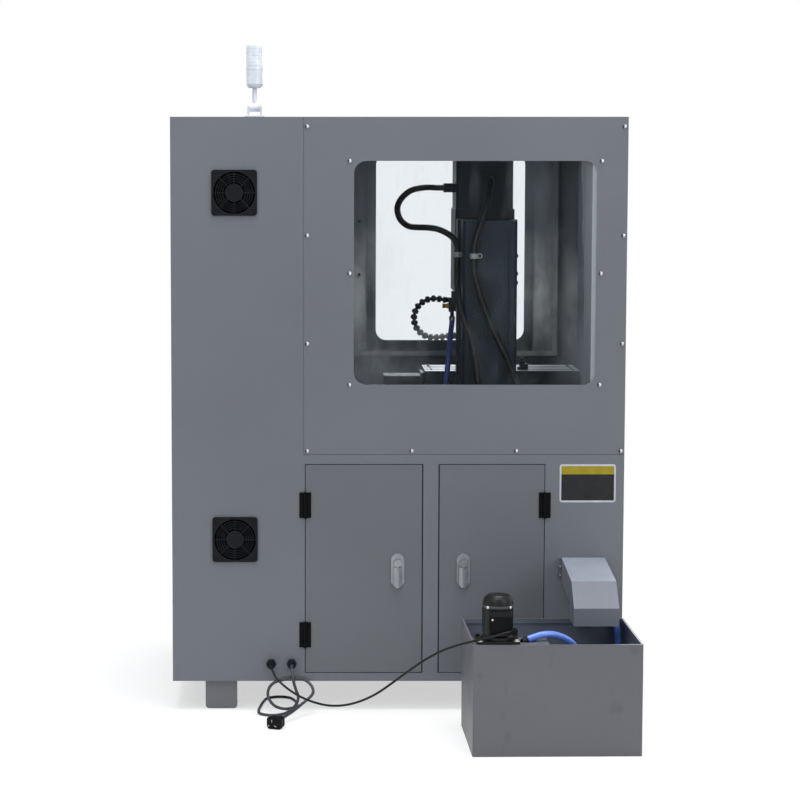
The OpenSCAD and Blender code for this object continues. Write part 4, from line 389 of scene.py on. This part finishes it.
def ground_top(name, top, side):
    """Machined casting: ground on the faces that look up, dark and oiled elsewhere."""
    t = Tree(name)
    up = t.add("SeparateXYZ", Vector=t.add("NewGeometry").outputs["Normal"]).outputs["Z"]
    fac = t.levels(up, 0.90, 0.96)
    lines = t.noise(260.0, 3.0, 0.6, stretch=(0.03, 1.0, 1.0))
    cloud = t.noise(9.0, 4.0)
    ground = t.ramp(lines, [(0.3, linear(shade(top, 0.86))), (0.7, linear(shade(top, 1.1)))])
    dark = t.ramp(cloud, [(0.3, linear(shade(side, 0.88))), (0.7, linear(shade(side, 1.12)))])
    shader = t.add("BsdfPrincipled", Base_Color=t.mix(fac, dark, ground),
                   Roughness=t.levels(t.math("ADD", cloud, lines), 0.7, 1.3, 0.36, 0.56),
                   Metallic=t.levels(fac, 0.0, 1.0, 0.1, 0.2),
                   Normal=t.bump(lines, 0.25, 0.00005))
    shader.inputs["Specular IOR Level"].default_value = 0.1
    return t.finish(shader.outputs[0])


def manifold_finish(name):
    """Dark manifold whose union on the left is brass."""
    t = Tree(name)
    cloud = t.noise(60.0, 4.0)
    brass = t.math("MULTIPLY", t.math("LESS_THAN", t.axis("X"), UNION_RIGHT),
                   t.math("LESS_THAN", t.axis("Z"), UNION_TOP))
    dark = t.ramp(cloud, [(0.3, linear((22, 23, 25))), (0.7, linear((31, 32, 34)))])
    gold = t.ramp(cloud, [(0.3, linear((128, 92, 44))), (0.7, linear((166, 124, 66)))])
    shader = t.add("BsdfPrincipled", Base_Color=t.mix(brass, dark, gold),
                   Roughness=t.levels(cloud, 0.3, 0.7, 0.3, 0.45), Metallic=brass)
    shader.inputs["Specular IOR Level"].default_value = 0.25
    return t.finish(shader.outputs[0])


def link_finish(name):
    """Blue-black links, dulled by dried coolant towards the nozzle."""
    t = Tree(name)
    cloud = t.noise(70.0, 4.0)
    fresh = t.ramp(cloud, [(0.3, linear((17, 24, 38))), (0.7, linear((24, 32, 49)))])
    dull_and_shade = t.ramp(cloud, [(0.3, linear((168, 171, 172))), (0.7, linear((196, 198, 198)))])
    height = t.math("ADD", t.axis("Z"), t.math("MULTIPLY", cloud, 0.02))
    low = t.levels(height, *LINKS_DULL)
    shader = t.add("BsdfPrincipled", Base_Color=t.mix(low, fresh, dull_and_shade),
                   Roughness=t.levels(low, 0.0, 1.0, 0.38, 0.6))
    shader.inputs["Specular IOR Level"].default_value = 0.2
    return t.finish(shader.outputs[0])


def plate_finish(name):
    """Bare enamelled plate: pale rim, a yellow band above and a black field below."""
    t = Tree(name)
    x, z = t.axis("X"), t.axis("Z")
    across = t.math("ABSOLUTE", t.math("SUBTRACT", x, PLATE_AT[0]))
    along_z = t.math("ABSOLUTE", t.math("SUBTRACT", z, PLATE_AT[2]))
    inside = t.math("MULTIPLY",
                    t.math("LESS_THAN", across, PLATE_SIZE[0] / 2 - PLATE_RIM[0]),
                    t.math("LESS_THAN", along_z, PLATE_SIZE[1] / 2 - PLATE_RIM[1]))
    cloud = t.noise(45.0, 4.0)
    black = t.ramp(cloud, [(0.3, linear((16, 16, 19))), (0.7, linear((26, 27, 30)))])
    yellow = t.ramp(cloud, [(0.3, linear((140, 126, 18))), (0.7, linear((153, 139, 29)))])
    rim = t.ramp(cloud, [(0.3, linear((176, 179, 190))), (0.7, linear((190, 193, 203)))])
    field = t.mix(t.math("GREATER_THAN", z, PLATE_BAND_Z), black, yellow)
    shader = t.add("BsdfPrincipled", Base_Color=t.mix(inside, rim, field),
                   Roughness=t.levels(cloud, 0.3, 0.7, 0.28, 0.4))
    shader.inputs["Specular IOR Level"].default_value = 0.3
    return t.finish(shader.outputs[0])


GREY = (101, 105, 111)
M = {
    "enclosure": powder_coat("enclosure_coat", GREY),
    "door": powder_coat("door_coat", (95, 98, 103), smears=0.6),
    "inner": powder_coat("inner_coat", (92, 97, 104), smears=1.2),
    "front_frame": stained_and_shaded_inside("front_frame_coat", GREY),
    "front_door": stained_and_shaded_inside("front_door_coat", (95, 98, 103)),
    "tank": tank_finish("tank_coat", (91, 91, 97)),
    "chute": chute_finish("chute_coat", (104, 108, 118)),
    "foot": powder_coat("foot_coat", (104, 106, 111), smears=0.8),
    "cast": surface("cast_enamel", (21, 32, 43), rough=0.50, spread=0.10, scale=7.0,
                    grain=0.00008, grain_scale=420.0, specular=0.22),
    "iron": ground_top("ground_iron", top=(158, 162, 166), side=(66, 71, 77)),
    "steel": surface("turned_steel", (186, 188, 190), rough=0.25, spread=0.05, scale=20.0,
                     grain=0.00005, grain_scale=900.0, metallic=1.0, streak=(1.0, 1.0, 20.0)),
    "zinc": surface("zinc_plate", (150, 154, 158), rough=0.33, spread=0.08, scale=40.0,
                    grain=0.00005, grain_scale=900.0, metallic=0.9),
    "screw": screw_head("screw_heads"),
    "band_steel": surface("band_steel", (150, 153, 156), rough=0.3, spread=0.08, scale=40.0,
                          metallic=0.9),
    "satin_chrome": surface("satin_chrome", (140, 144, 148), rough=0.36, spread=0.06, scale=30.0,
                            grain=0.00003, grain_scale=1400.0, metallic=0.7,
                            streak=(1.0, 1.0, 0.05)),
    "black_metal": surface("black_enamel", (8, 9, 11), rough=0.42, spread=0.14, scale=40.0,
                           grain=0.00008, grain_scale=1500.0, specular=0.07),
    "black": surface("black_moulding", (20, 22, 26), rough=0.5, spread=0.15, scale=30.0,
                     grain=0.00008, grain_scale=1600.0, specular=0.10),
    "pump": surface("pump_enamel", (6, 7, 9), rough=0.35, spread=0.15, scale=25.0, grain=0.00005,
                    grain_scale=400.0, specular=0.26, rough_spread=0.05),
    "terminal": surface("terminal_moulding", (12, 13, 15), rough=0.48, spread=0.12, scale=30.0,
                        grain=0.00008, grain_scale=1600.0, specular=0.08),
    "grey_cord": surface("grey_sheath", (58, 60, 66), rough=0.36, spread=0.08, scale=20.0,
                         grain=0.00004, grain_scale=1200.0, specular=0.35),
    "black_cord": surface("black_sheath", (18, 18, 21), rough=0.4, spread=0.1, scale=20.0,
                          grain=0.00004, grain_scale=1200.0, specular=0.2),
    "blue_hose": surface("blue_hose_skin", (92, 128, 220), rough=0.28, spread=0.05, scale=14.0,
                         grain=0.00004, grain_scale=900.0, specular=0.6, coat=0.25),
    "inner_hose": surface("inner_hose_skin", (62, 80, 148), rough=0.35, spread=0.06, scale=14.0,
                          grain=0.00004, grain_scale=900.0, specular=0.4),
    "link": link_finish("link_moulding"),
    "bolt": surface("plated_bolts", (206, 204, 200), rough=0.28, spread=0.08, scale=60.0,
                    metallic=0.55),
    "motor_band": surface("motor_band", (62, 64, 68), rough=0.35, spread=0.10, scale=40.0,
                          metallic=0.3),
    "conduit": surface("conduit_skin", (15, 17, 20), rough=0.38, spread=0.1, scale=20.0,
                       grain=0.00004, grain_scale=900.0, specular=0.22),
    "brass": surface("brass_knob", (150, 116, 62), rough=0.33, spread=0.08, scale=40.0,
                     metallic=0.9),
    "manifold": manifold_finish("manifold_finish"),
    "clamp_grey": surface("clamp_moulding", (132, 136, 138), rough=0.45, spread=0.06, scale=40.0),
    "grommet": surface("grommet_rubber", (17, 18, 20), rough=0.55, spread=0.1, scale=40.0,
                       specular=0.15),
    "grey_cover": surface("motor_cover", (40, 45, 51), rough=0.5, spread=0.08, scale=12.0,
                          grain=0.0001, grain_scale=900.0, specular=0.05),
    "panel": surface("panel_coat", (52, 55, 61), rough=0.4, spread=0.06, scale=8.0, grain=0.00012,
                     grain_scale=1400.0),
    "screen": surface("screen_glass", (9, 13, 19), rough=0.12, spread=0.2, scale=5.0,
                      specular=0.2),
    "red": surface("red_cap", (196, 26, 22), rough=0.28, spread=0.05, scale=30.0, coat=0.3),
    "green": surface("green_cap", (28, 128, 62), rough=0.28, spread=0.05, scale=30.0, coat=0.3),
    "lamp_base": surface("lamp_bracket", (205, 209, 214), rough=0.4, spread=0.05, scale=30.0),
    "wheel": surface("wheel_moulding", (30, 30, 33), rough=0.38, spread=0.1, scale=40.0,
                     grain=0.00006, grain_scale=1500.0),
    "window": clear_sheet("window_sheet", haze=0.10, tint=(0.95, 0.965, 0.97, 1),
                          dusty_below=DUST_TOP, strip_from=STRIP_LEFT),
    "front_window": clear_sheet("front_window_sheet", haze=0.05, tint=(0.95, 0.96, 0.97, 1)),
    "plug": plug_finish("plug_parts"),
    "lamp": two_tone("lamp_parts", low=((222, 227, 235), 0.3, 0.0),
                     high=((230, 237, 248), 0.2, 0.0), split=LENS_Z),
    "info_plate": plate_finish("plate_enamel"),
}

FINISH = {
    "enclosure": "rear_frame_panel rear_window_panel cabinet_side_panel right_side_panel "
                 "roof_panel",
    "front_frame": "front_frame_panel",
    "front_door": "front_door",
    "inner": "bulkhead chip_tray base_frame",
    "door": "left_door right_door",
    "foot": "mounting_feet",
    "tank": "coolant_tank",
    "chute": "chip_chute",
    "cast": "machine_base column saddle head",
    "iron": "table",
    "steel": "spindle",
    "zinc": "left_lock_cam right_lock_cam",
    "screw": "panel_screws",
    "satin_chrome": "left_lock_plate left_lock_lever right_lock_plate right_lock_lever",
    "black_metal": "frame_hinge_leaves left_door_hinges right_door_hinges front_door_hinges",
    "black": "front_door_handle fan_guards upper_fan_wheel lower_fan_wheel cable_glands "
             "feed_knob",
    "pump": "coolant_pump",
    "terminal": "pump_terminal_box",
    "link": "nozzle_hose",
    "brass": "valve_knob",
    "manifold": "coolant_manifold",
    "grey_cover": "table_motor_cover",
    "panel": "control_panel",
    "screen": "display_screen",
    "red": "emergency_stop",
    "green": "start_button",
    "lamp_base": "lamp_base",
    "wheel": "handwheel",
    "window": "rear_window_pane",
    "front_window": "front_door_window",
    "plug": "mains_plug",
    "lamp": "signal_lamp",
}


def dress(obj, key):
    obj.data.materials.clear()
    obj.data.materials.append(M[key])


for key, names in FINISH.items():
    for name in names.split():
        dress(NODES[name], key)


# ---------------------------------------------------------------- shapes

def mm(points):
    return [Vector(p) / 1000 for p in points]


def bend(p, n=6):
    """Curve through the given points, with n steps between two of them."""
    out = []
    last = len(p) - 1
    for i in range(last):
        a, b, c, d = p[max(i - 1, 0)], p[i], p[i + 1], p[min(i + 2, last)]
        for k in range(n):
            t = k / n
            out.append(0.5 * (2 * b + (c - a) * t + (2 * a - 5 * b + 4 * c - d) * t * t
                              + (3 * b - a - 3 * c + d) * t ** 3))
    out.append(p[last])
    return out


def path_length(p):
    return sum((b - a).length for a, b in zip(p, p[1:]))


def link(name, mesh, key, body, smooth=True):
    """Object of a mesh in its finish, on a body of the frame if one is given."""
    obj = bpy.data.objects.new(name, mesh)
    bpy.context.scene.collection.objects.link(obj)
    mesh.materials.append(M[key])
    for polygon in mesh.polygons:
        polygon.use_smooth = smooth
    if body:
        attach(obj, body)
    return obj


def from_bmesh(name, bm, key, body, smooth=False, bevel=None):
    """Object of a finished bmesh, with its edges rounded by the width of the bevel."""
    bmesh.ops.recalc_face_normals(bm, faces=bm.faces)
    mesh = bpy.data.meshes.new(name)
    bm.to_mesh(mesh)
    bm.free()
    obj = link(name, mesh, key, body, smooth)
    if bevel:
        mod = obj.modifiers.new("edges", "BEVEL")
        mod.width = bevel
        mod.segments = 2
        mod.limit_method = "ANGLE"
    return obj


def round_curve(name, points, diameter, key):
    """Open curve of one spline with a round section."""
    data = bpy.data.curves.new(name, "CURVE")
    data.dimensions = "3D"
    data.bevel_depth = diameter / 2
    data.bevel_resolution = 5
    data.use_fill_caps = True
    spline = data.splines.new("POLY")
    spline.points.add(len(points) - 1)
    for point, at in zip(spline.points, points):
        point.co = (*at, 1)
    spline.use_smooth = True
    obj = bpy.data.objects.new(name, data)
    bpy.context.scene.collection.objects.link(obj)
    data.materials.append(M[key])
    return obj


def resample(points, step):
    """Points at equal steps along a polyline."""
    total = path_length(points)
    count = max(2, round(total / step))
    out = [points[0].copy()]
    travelled, target = 0.0, total / count
    for a, b in zip(points, points[1:]):
        span = (b - a).length
        while len(out) < count and travelled + span >= target * len(out) - 1e-12:
            k = (target * len(out) - travelled) / span
            out.append(a.lerp(b, k))
        travelled += span
    out.append(points[-1].copy())
    return out


def swept(name, points, radius, sides, key, body):
    """Closed tube along points, with a radius for each ring number."""
    bm = bmesh.new()
    rings = []
    side = None
    for i, p in enumerate(points):
        ahead = (points[min(i + 1, len(points) - 1)] - points[max(i - 1, 0)]).normalized()
        if side is None:
            side = ahead.cross(Vector((0, 0, 1) if abs(ahead.z) < 0.9 else (1, 0, 0)))
        side = (side - ahead * side.dot(ahead)).normalized()
        up = ahead.cross(side)
        r = radius(i)
        rings.append([bm.verts.new(p + r * (math.cos(a) * side + math.sin(a) * up))
                      for a in (2 * math.pi * k / sides for k in range(sides))])
    for ring, following in zip(rings, rings[1:]):
        for k in range(sides):
            j = (k + 1) % sides
            bm.faces.new((ring[k], ring[j], following[j], following[k]))
    bm.faces.new(rings[0])
    bm.faces.new(rings[-1])
    return from_bmesh(name, bm, key, body, smooth=True)


def corrugated(name, points, diameter, key, body, pitch=0.005, depth=0.0011):
    """Ribbed conduit whose crests keep the full diameter."""
    dense = resample(points, pitch / 4)
    profile = (0.0, depth * 0.55, depth, depth * 0.55)
    return swept(name, dense, lambda i: diameter / 2 - profile[i % 4], 14, key, body)


# ---------------------------------------------------------------- cords and hoses

MAINS_ROUTE = mm([
    (-282, -510, 128), (-282, -516, 128), (-282, -526, 126), (-281, -536, 121), (-279, -546, 109),
    (-276, -550, 90), (-270, -544, 68), (-265, -537, 53), (-266, -527, 36), (-274, -523, 21),
    (-287, -527, 10), (-304, -541, 4), (-323, -553, 4), (-347, -552, 4), (-367, -533, 4),
    (-370, -495, 4), (-366, -450, 4), (-360, -400, 4), (-348, -352, 4), (-319, -334, 4),
    (-290, -345, 4), (-275, -380, 4), (-268, -425, 4), (-271, -462, 5), (-284, -490, 8),
    (-304, -505, 10), (-328, -507, 19), (-344, -501, 39), (-344, -493, 60), (-330, -486, 76),
    (-303, -486, 85), (-275, -486, 89), (-247, -486, 84), (-229, -496, 70), (-225, -513, 56),
    (-235, -533, 46), (-255, -554, 34), (-272, -578, 25), (-288, -603, 19), (-300, -630, 17),
    (-306, -646, 17),
])
PUMP_ROUTE = mm([
    (-337, -510, 128), (-337, -519, 128), (-336, -529, 125), (-331, -541, 118),
    (-322, -554, 103), (-303, -571, 88), (-282, -590, 76), (-255, -612, 65), (-222, -640, 58),
    (-185, -676, 58), (-145, -716, 68), (-105, -754, 87), (-65, -788, 114), (-25, -818, 149),
    (15, -848, 186), (55, -878, 221), (95, -910, 250), (130, -942, 270), (160, -968, 284),
    (188, -987, 295), (214, -996, 303), (236, -998, 310), (248, -998, 313), (255, -998.1, 314),
    (262, -998.1, 314),
])
HOSE_ROUTE = mm([
    (307.5, -933.7, 284), (340, -930, 294), (368, -922, 294), (393, -910, 285), (415, -896, 271),
    (432, -880, 250), (445, -863, 226), (455, -847, 199), (465, -831, 171), (475, -813, 146),
    (487, -794, 124), (499, -772, 109), (515, -748, 102), (531, -724, 105), (545, -703, 118),
    (556, -688, 139), (563, -678, 169), (566, -669, 198), (565, -666, 231), (561, -665, 262),
    (555, -656, 288), (549, -636, 311), (545, -609, 325), (543, -577, 329), (543, -544, 328),
    (543, -511, 328), (543, -478, 328),
])
CORDS = [
    ("mains_lead", MAINS_ROUTE, 0.008, "grey_cord", "mains_cord", "plug", ["mains_plug"]),
    ("pump_lead", PUMP_ROUTE, 0.006, "black_cord", "pump_cable", "object", []),
    ("return_hose", HOSE_ROUTE, 0.018, "blue_hose", "coolant_hose", "object", []),
]
for name, route, diameter, key, node, end, on_it in CORDS:
    path = [Vector((p.x, p.y, max(p.z, diameter / 2))) for p in bend(route)]
    cord = round_curve(name, path, diameter, key)
    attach(cord, BODY)
    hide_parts(node)

# ---------------------------------------------------------------- conduits inside the enclosure

SIDE_LOOP = mm([
    (139, -78, 1389), (129, -78, 1389), (119, -78, 1389), (93, -80, 1390), (58, -90, 1385),
    (36, -100, 1374), (19, -110, 1357), (10, -120, 1338), (10, -132, 1321), (16, -144, 1304),
    (28, -156, 1291), (47, -170, 1283), (87, -196, 1282), (113, -212, 1279), (136, -224, 1270),
    (154, -232, 1258), (165, -237, 1244), (168.5, -238, 1228), (168.5, -238, 1223),
    (168.5, -238, 1218),
])
REAR_LOOP = mm([
    (266, -118, 1414), (266, -126, 1414), (266, -134, 1414), (264, -180, 1413),
    (260, -228, 1405), (254, -268, 1388), (247, -300, 1364), (239, -324, 1336),
    (228, -338, 1304), (217, -342, 1274), (210, -341, 1246), (207, -340, 1228),
    (207, -340, 1223), (207, -340, 1218),
])
SIDE_RUN = mm([
    (168.5, -238, 1218), (168.5, -238, 1209), (168.5, -238, 1200), (168, -243, 1176),
    (167, -257, 1150), (167, -288, 1118), (169, -316, 1086), (176, -334, 1056),
    (186, -342, 1025), (202, -344, 985), (213, -344, 930), (220, -344, 870),
    (224, -348, 800), (225, -352, 735), (225, -352, 712), (225, -352, 692),
])
REAR_RUN = mm([
    (207, -340, 1218), (207, -340, 1212), (207, -340, 1206), (208, -341, 1170),
    (217, -343, 1130), (236, -344, 1070), (262, -344, 1008), (288, -344, 955),
    (310, -344, 906), (325, -344, 862), (335, -348, 800), (337, -352, 735),
    (337, -352, 712), (337, -352, 692),
])
SUPPLY_ROUTE = mm([
    (167, -50, 1030), (167, -50, 1022), (167, -50, 1014), (165, -56, 998), (161, -77, 975),
    (157, -107, 948), (154, -131, 922), (150, -143, 895), (146, -148, 854), (143, -150, 799),
    (138, -150, 760), (134, -150, 736), (133, -150, 716), (133, -150, 704), (133, -150, 692),
])
CONDUIT = 0.018
SUPPLY = 0.015


def lathe(bm, profile, place, steps):
    """Turned ring of the closed profile of (radius, height) about local Z."""
    rings = []
    for k in range(steps):
        a = 2 * math.pi * k / steps
        rings.append([bm.verts.new(place @ Vector((r * math.cos(a), r * math.sin(a), h)))
                      for r, h in profile])
    count = len(profile)
    for k in range(steps):
        one, two = rings[k], rings[(k + 1) % steps]
        for i in range(count):
            j = (i + 1) % count
            bm.faces.new((one[i], two[i], two[j], one[j]))


def prism(bm, outline, depth, place):
    """Outline in local XY, extruded along local Z."""
    low = [bm.verts.new(place @ Vector((x, y, 0))) for x, y in outline]
    high = [bm.verts.new(place @ Vector((x, y, depth))) for x, y in outline]
    bm.faces.new(low[::-1])
    bm.faces.new(high)
    for i in range(len(outline)):
        j = (i + 1) % len(outline)
        bm.faces.new((low[i], low[j], high[j], high[i]))


def disc(radius, steps, start=0.0, sweep=2 * math.pi, centre=(0, 0)):
    """Points of a circle, or of an arc with both of its ends."""
    count = steps if sweep >= 2 * math.pi else steps + 1
    return [(centre[0] + radius * math.cos(start + sweep * k / steps),
             centre[1] + radius * math.sin(start + sweep * k / steps)) for k in range(count)]


for name, route in (("side_loop", SIDE_LOOP), ("rear_loop", REAR_LOOP)):
    loop = corrugated(name, bend(route), CONDUIT, "conduit", None)
    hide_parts("head_conduits")
    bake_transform(loop)
for name, route in (("side_run", SIDE_RUN), ("rear_run", REAR_RUN)):
    run = corrugated(name, bend(route), CONDUIT, "conduit", BODY)
    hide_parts("column_conduits")

supply = swept("supply_line", resample(bend(SUPPLY_ROUTE), 0.006), lambda i: SUPPLY / 2, 20,
               "inner_hose", None)
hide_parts("supply_hose")
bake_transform(supply)

bm = bmesh.new()
for route in (SIDE_RUN, REAR_RUN):
    lathe(bm, [(0.0092, 0), (0.016, 0), (0.016, 0.0036), (0.0148, 0.0056), (0.0122, 0.006),
               (0.0100, 0.0056), (0.0092, 0.0040)], Matrix.Translation(route[-1]), 32)
from_bmesh("conduit_grommets", bm, "grommet", BODY, smooth=True)

# Clamps: a band round the conduit and a foot with a round end, under a dark screw.
# Each has its place in mm, its turn about Z in degrees and the length of its spacer in mm.
CLAMPS = [((168.5, -238, 1210), -90, 0), ((207, -340, 1210), 0, 13)]
bands, screws = bmesh.new(), bmesh.new()
for at, turn, spacer in CLAMPS:
    frame_at = Matrix.Translation(Vector(at) / 1000) @ Matrix.Rotation(math.radians(turn), 4, "Z")
    lathe(bands, [(0.0093, -0.007), (0.0104, -0.007), (0.0109, -0.0064), (0.0109, 0.0064),
                  (0.0104, 0.007), (0.0093, 0.007)], frame_at, 40)
    across = frame_at @ Matrix.Translation((0, 0.011, 0)) @ Matrix.Rotation(
        math.radians(90), 4, "X")
    foot = [(0, -0.007), (0.017, -0.007)] + disc(0.007, 14, -math.pi / 2, math.pi,
                                                 (0.017, 0))[1:-1] + [(0.017, 0.007), (0, 0.007)]
    prism(bands, foot, 0.003, across)
    place = across @ Matrix.Translation((0.017, 0, 0.003))
    lathe(screws, [(0.0001, 0), (0.0034, 0), (0.0034, 0.0018), (0.0026, 0.0026),
                   (0.0012, 0.0029), (0.0011, 0.0018), (0.0001, 0.0018)], place, 20)
    if spacer:
        lathe(screws, [(0.0001, -0.003), (0.0055, -0.003), (0.0055, -0.003 - spacer / 1000),
                       (0.0001, -0.003 - spacer / 1000)], place, 24)
from_bmesh("conduit_clamps", bands, "clamp_grey", BODY, bevel=0.0003)
from_bmesh("clamp_screws", screws, "black_metal", BODY)


def along(route, distance):
    """Frame whose Z follows a route at a distance from its start."""
    dense = resample(bend(route), 0.002)
    i = min(len(dense) - 2, round(distance / 0.002))
    way = (dense[i + 1] - dense[max(i - 1, 0)]).normalized()
    return Matrix.Translation(dense[i]) @ way.to_track_quat("Z", "X").to_matrix().to_4x4()


def hose_band(name, route, distance, radius, body):
    """Worm-drive band with its screw housing."""
    bm = bmesh.new()
    place = along(route, distance)
    lathe(bm, [(radius, -0.0045), (radius + 0.0006, -0.0045), (radius + 0.0009, -0.0038),
               (radius + 0.0009, 0.0038), (radius + 0.0006, 0.0045), (radius, 0.0045)], place, 40)
    house = place @ Matrix.Translation((radius, 0, 0)) @ Matrix.Rotation(math.radians(90), 4, "X")
    prism(bm, disc(0.0026, 16, centre=(0.0020, 0)), 0.011,
          house @ Matrix.Translation((0, 0, -0.0055)))
    prism(bm, disc(0.0032, 6, centre=(0.0020, 0)), 0.003,
          house @ Matrix.Translation((0, 0, 0.0055)))
    return from_bmesh(name, bm, "band_steel", body, bevel=0.0002)


hose_band("supply_band", SUPPLY_ROUTE, distance=0.008, radius=0.0076, body="head")

# ---------------------------------------------------------------- pump fittings

# Band round the motor, below its fan cowl
PUMP = Matrix.Translation((0.23207, -0.935, 0.279)) @ Matrix.Rotation(TANK_YAW, 4, "Z")
bm = bmesh.new()
lathe(bm, [(0.0384, 0.0880), (0.0390, 0.0880), (0.0392, 0.0886), (0.0392, 0.0934),
           (0.0390, 0.0940), (0.0384, 0.0940)], PUMP, 64)
from_bmesh("motor_band", bm, "motor_band", BODY)

# Cowl screws, the two bolts of the pump's plate and the screw of the terminal box
bm = bmesh.new()
for angle in (45, 135, 225, 315):
    place = (PUMP @ Matrix.Rotation(math.radians(angle), 4, "Z")
             @ Matrix.Translation((0.0389, 0, 0.0905)) @ Matrix.Rotation(math.radians(90), 4, "Y"))
    lathe(bm, [(0.0001, 0), (0.0036, 0), (0.0036, 0.0014), (0.0028, 0.0024), (0.0012, 0.0028),
               (0.0001, 0.0029)], place, 20)
for x in (-0.048, 0.043):
    place = PUMP @ Matrix.Translation((x, -0.039, 0.0080))
    lathe(bm, [(0.0001, 0), (0.0080, 0), (0.0080, 0.0010), (0.0001, 0.0010)], place, 28)
    prism(bm, disc(0.0060, 6), 0.0036, place @ Matrix.Translation((0, 0, 0.0009)))
place = (PUMP @ Matrix.Translation((-0.019, -0.0571, 0.065))
         @ Matrix.Rotation(math.radians(90), 4, "X"))
lathe(bm, [(0.0001, 0), (0.0027, 0), (0.0024, 0.0006), (0.0010, 0.0007), (0.0009, 0.0003),
           (0.0001, 0.0003)], place, 20)
from_bmesh("pump_bolts", bm, "bolt", BODY, bevel=0.0002)

# ---------------------------------------------------------------- bare plate

def rounded(w, h, r, steps=6):
    """Outline of a rectangle with round corners about the origin."""
    out = []
    for cx, cy, start in ((w / 2 - r, h / 2 - r, 0), (r - w / 2, h / 2 - r, 90),
                          (r - w / 2, r - h / 2, 180), (w / 2 - r, r - h / 2, 270)):
        out += disc(r, steps, math.radians(start), math.pi / 2, (cx, cy))
    return out


bm = bmesh.new()
prism(bm, rounded(*PLATE_SIZE, 0.007), 0.0006,
      Matrix.Translation(PLATE_AT) @ Matrix.Rotation(math.radians(90), 4, "X"))
from_bmesh("info_plate", bm, "info_plate", BODY)

# ---------------------------------------------------------------- stage and light

def glowing(name, rgb, calm, glow_near, glow_far, start, stop):
    """Floor material: plain and pale, turning plain white between two distances from the middle.

    It bounces light as rgb and looks like the calmer tone, so its shadows fade out gently.
    """
    t = Tree(name)
    flat = t.add("SeparateXYZ", Vector=t.place)
    square = t.math("ADD", t.math("MULTIPLY", flat.outputs[0], flat.outputs[0]),
                    t.math("MULTIPLY", flat.outputs[1], flat.outputs[1]))
    far = t.levels(t.math("SQRT", square), start, stop)
    speck = t.noise(40.0, 2.0)
    rays = t.add("LightPath")
    seen = t.math("MAXIMUM", rays.outputs["Is Camera Ray"],
                  t.math("MAXIMUM", rays.outputs["Is Glossy Ray"],
                         rays.outputs["Is Transmission Ray"]))
    paint = t.mix(speck, linear(rgb), linear(shade(rgb, 0.985)))
    paint = t.mix(seen, paint, t.mix(speck, linear(calm), linear(shade(calm, 0.985))))
    diffuse = t.add("BsdfDiffuse", Color=paint)
    lift = t.add("Emission", Color=(1, 1, 1, 1), Strength=t.math("MULTIPLY", seen, glow_near))
    near = t.add("AddShader")
    t.links.new(diffuse.outputs[0], near.inputs[0])
    t.links.new(lift.outputs[0], near.inputs[1])
    white = t.add("Emission", Color=(1, 1, 1, 1),
                  Strength=t.levels(seen, 0.0, 1.0, glow_far, 1.0))
    out = t.add("MixShader", Fac=far)
    t.links.new(near.outputs[0], out.inputs[1])
    t.links.new(white.outputs[0], out.inputs[2])
    return t.finish(out.outputs[0])


M["floor"] = glowing("floor_paint", rgb=(240, 240, 240), calm=(178, 178, 178),
                     glow_near=0.58, glow_far=0.55, start=1.6, stop=3.2)
bm = bmesh.new()
bmesh.ops.create_grid(bm, x_segments=12, y_segments=12, size=14)
floor_mesh = bpy.data.meshes.new("floor")
bm.to_mesh(floor_mesh)
bm.free()
floor = link("floor", floor_mesh, "floor", None)
floor.location = (0, 0, -0.0002)

world = bpy.data.worlds.new("studio")
bpy.context.scene.world = world
world.use_nodes = True
nodes, links = world.node_tree.nodes, world.node_tree.links
nodes.clear()
rays = nodes.new("ShaderNodeLightPath")
backdrop = nodes.new("ShaderNodeBackground")
backdrop.inputs["Color"].default_value = (1, 1, 1, 1)
ambient = nodes.new("ShaderNodeBackground")
ambient.inputs["Color"].default_value = (0.93, 0.96, 1, 1)
ambient.inputs["Strength"].default_value = 0.5
either = nodes.new("ShaderNodeMath")
either.operation = "MAXIMUM"
links.new(rays.outputs["Is Camera Ray"], either.inputs[0])
links.new(rays.outputs["Is Glossy Ray"], either.inputs[1])
any_of = nodes.new("ShaderNodeMath")
any_of.operation = "MAXIMUM"
links.new(either.outputs[0], any_of.inputs[0])
links.new(rays.outputs["Is Transmission Ray"], any_of.inputs[1])
choice = nodes.new("ShaderNodeMixShader")
world_out = nodes.new("ShaderNodeOutputWorld")
links.new(any_of.outputs[0], choice.inputs[0])
links.new(ambient.outputs[0], choice.inputs[1])
links.new(backdrop.outputs[0], choice.inputs[2])
links.new(choice.outputs[0], world_out.inputs["Surface"])

LIGHTS = [
    # name, place, target, size, power
    ("key", (-2.6, -5.2, 4.4), (0, -0.4, 0.8), 3.2, 84),
    ("fill", (3.8, -4.6, 2.6), (0, -0.4, 0.7), 3.0, 68),
    ("top", (0.2, -0.9, 5.2), (0.1, -0.6, 0.5), 3.6, 250),
    ("back", (0.8, 5.6, 3.2), (0, 0.4, 0.9), 3.4, 150),
    ("inside", (0.22, 0.25, 1.55), (0.21, 0.19, 0.9), 0.3, 3.4),
]
for name, place, target, size, power in LIGHTS:
    data = bpy.data.lights.new(name, "AREA")
    data.size = size
    data.energy = power
    lamp = bpy.data.objects.new(name, data)
    lamp.location = place
    lamp.visible_camera = False
    lamp.rotation_euler = (Vector(target) - Vector(place)).to_track_quat("-Z", "Y").to_euler()
    bpy.context.scene.collection.objects.link(lamp)
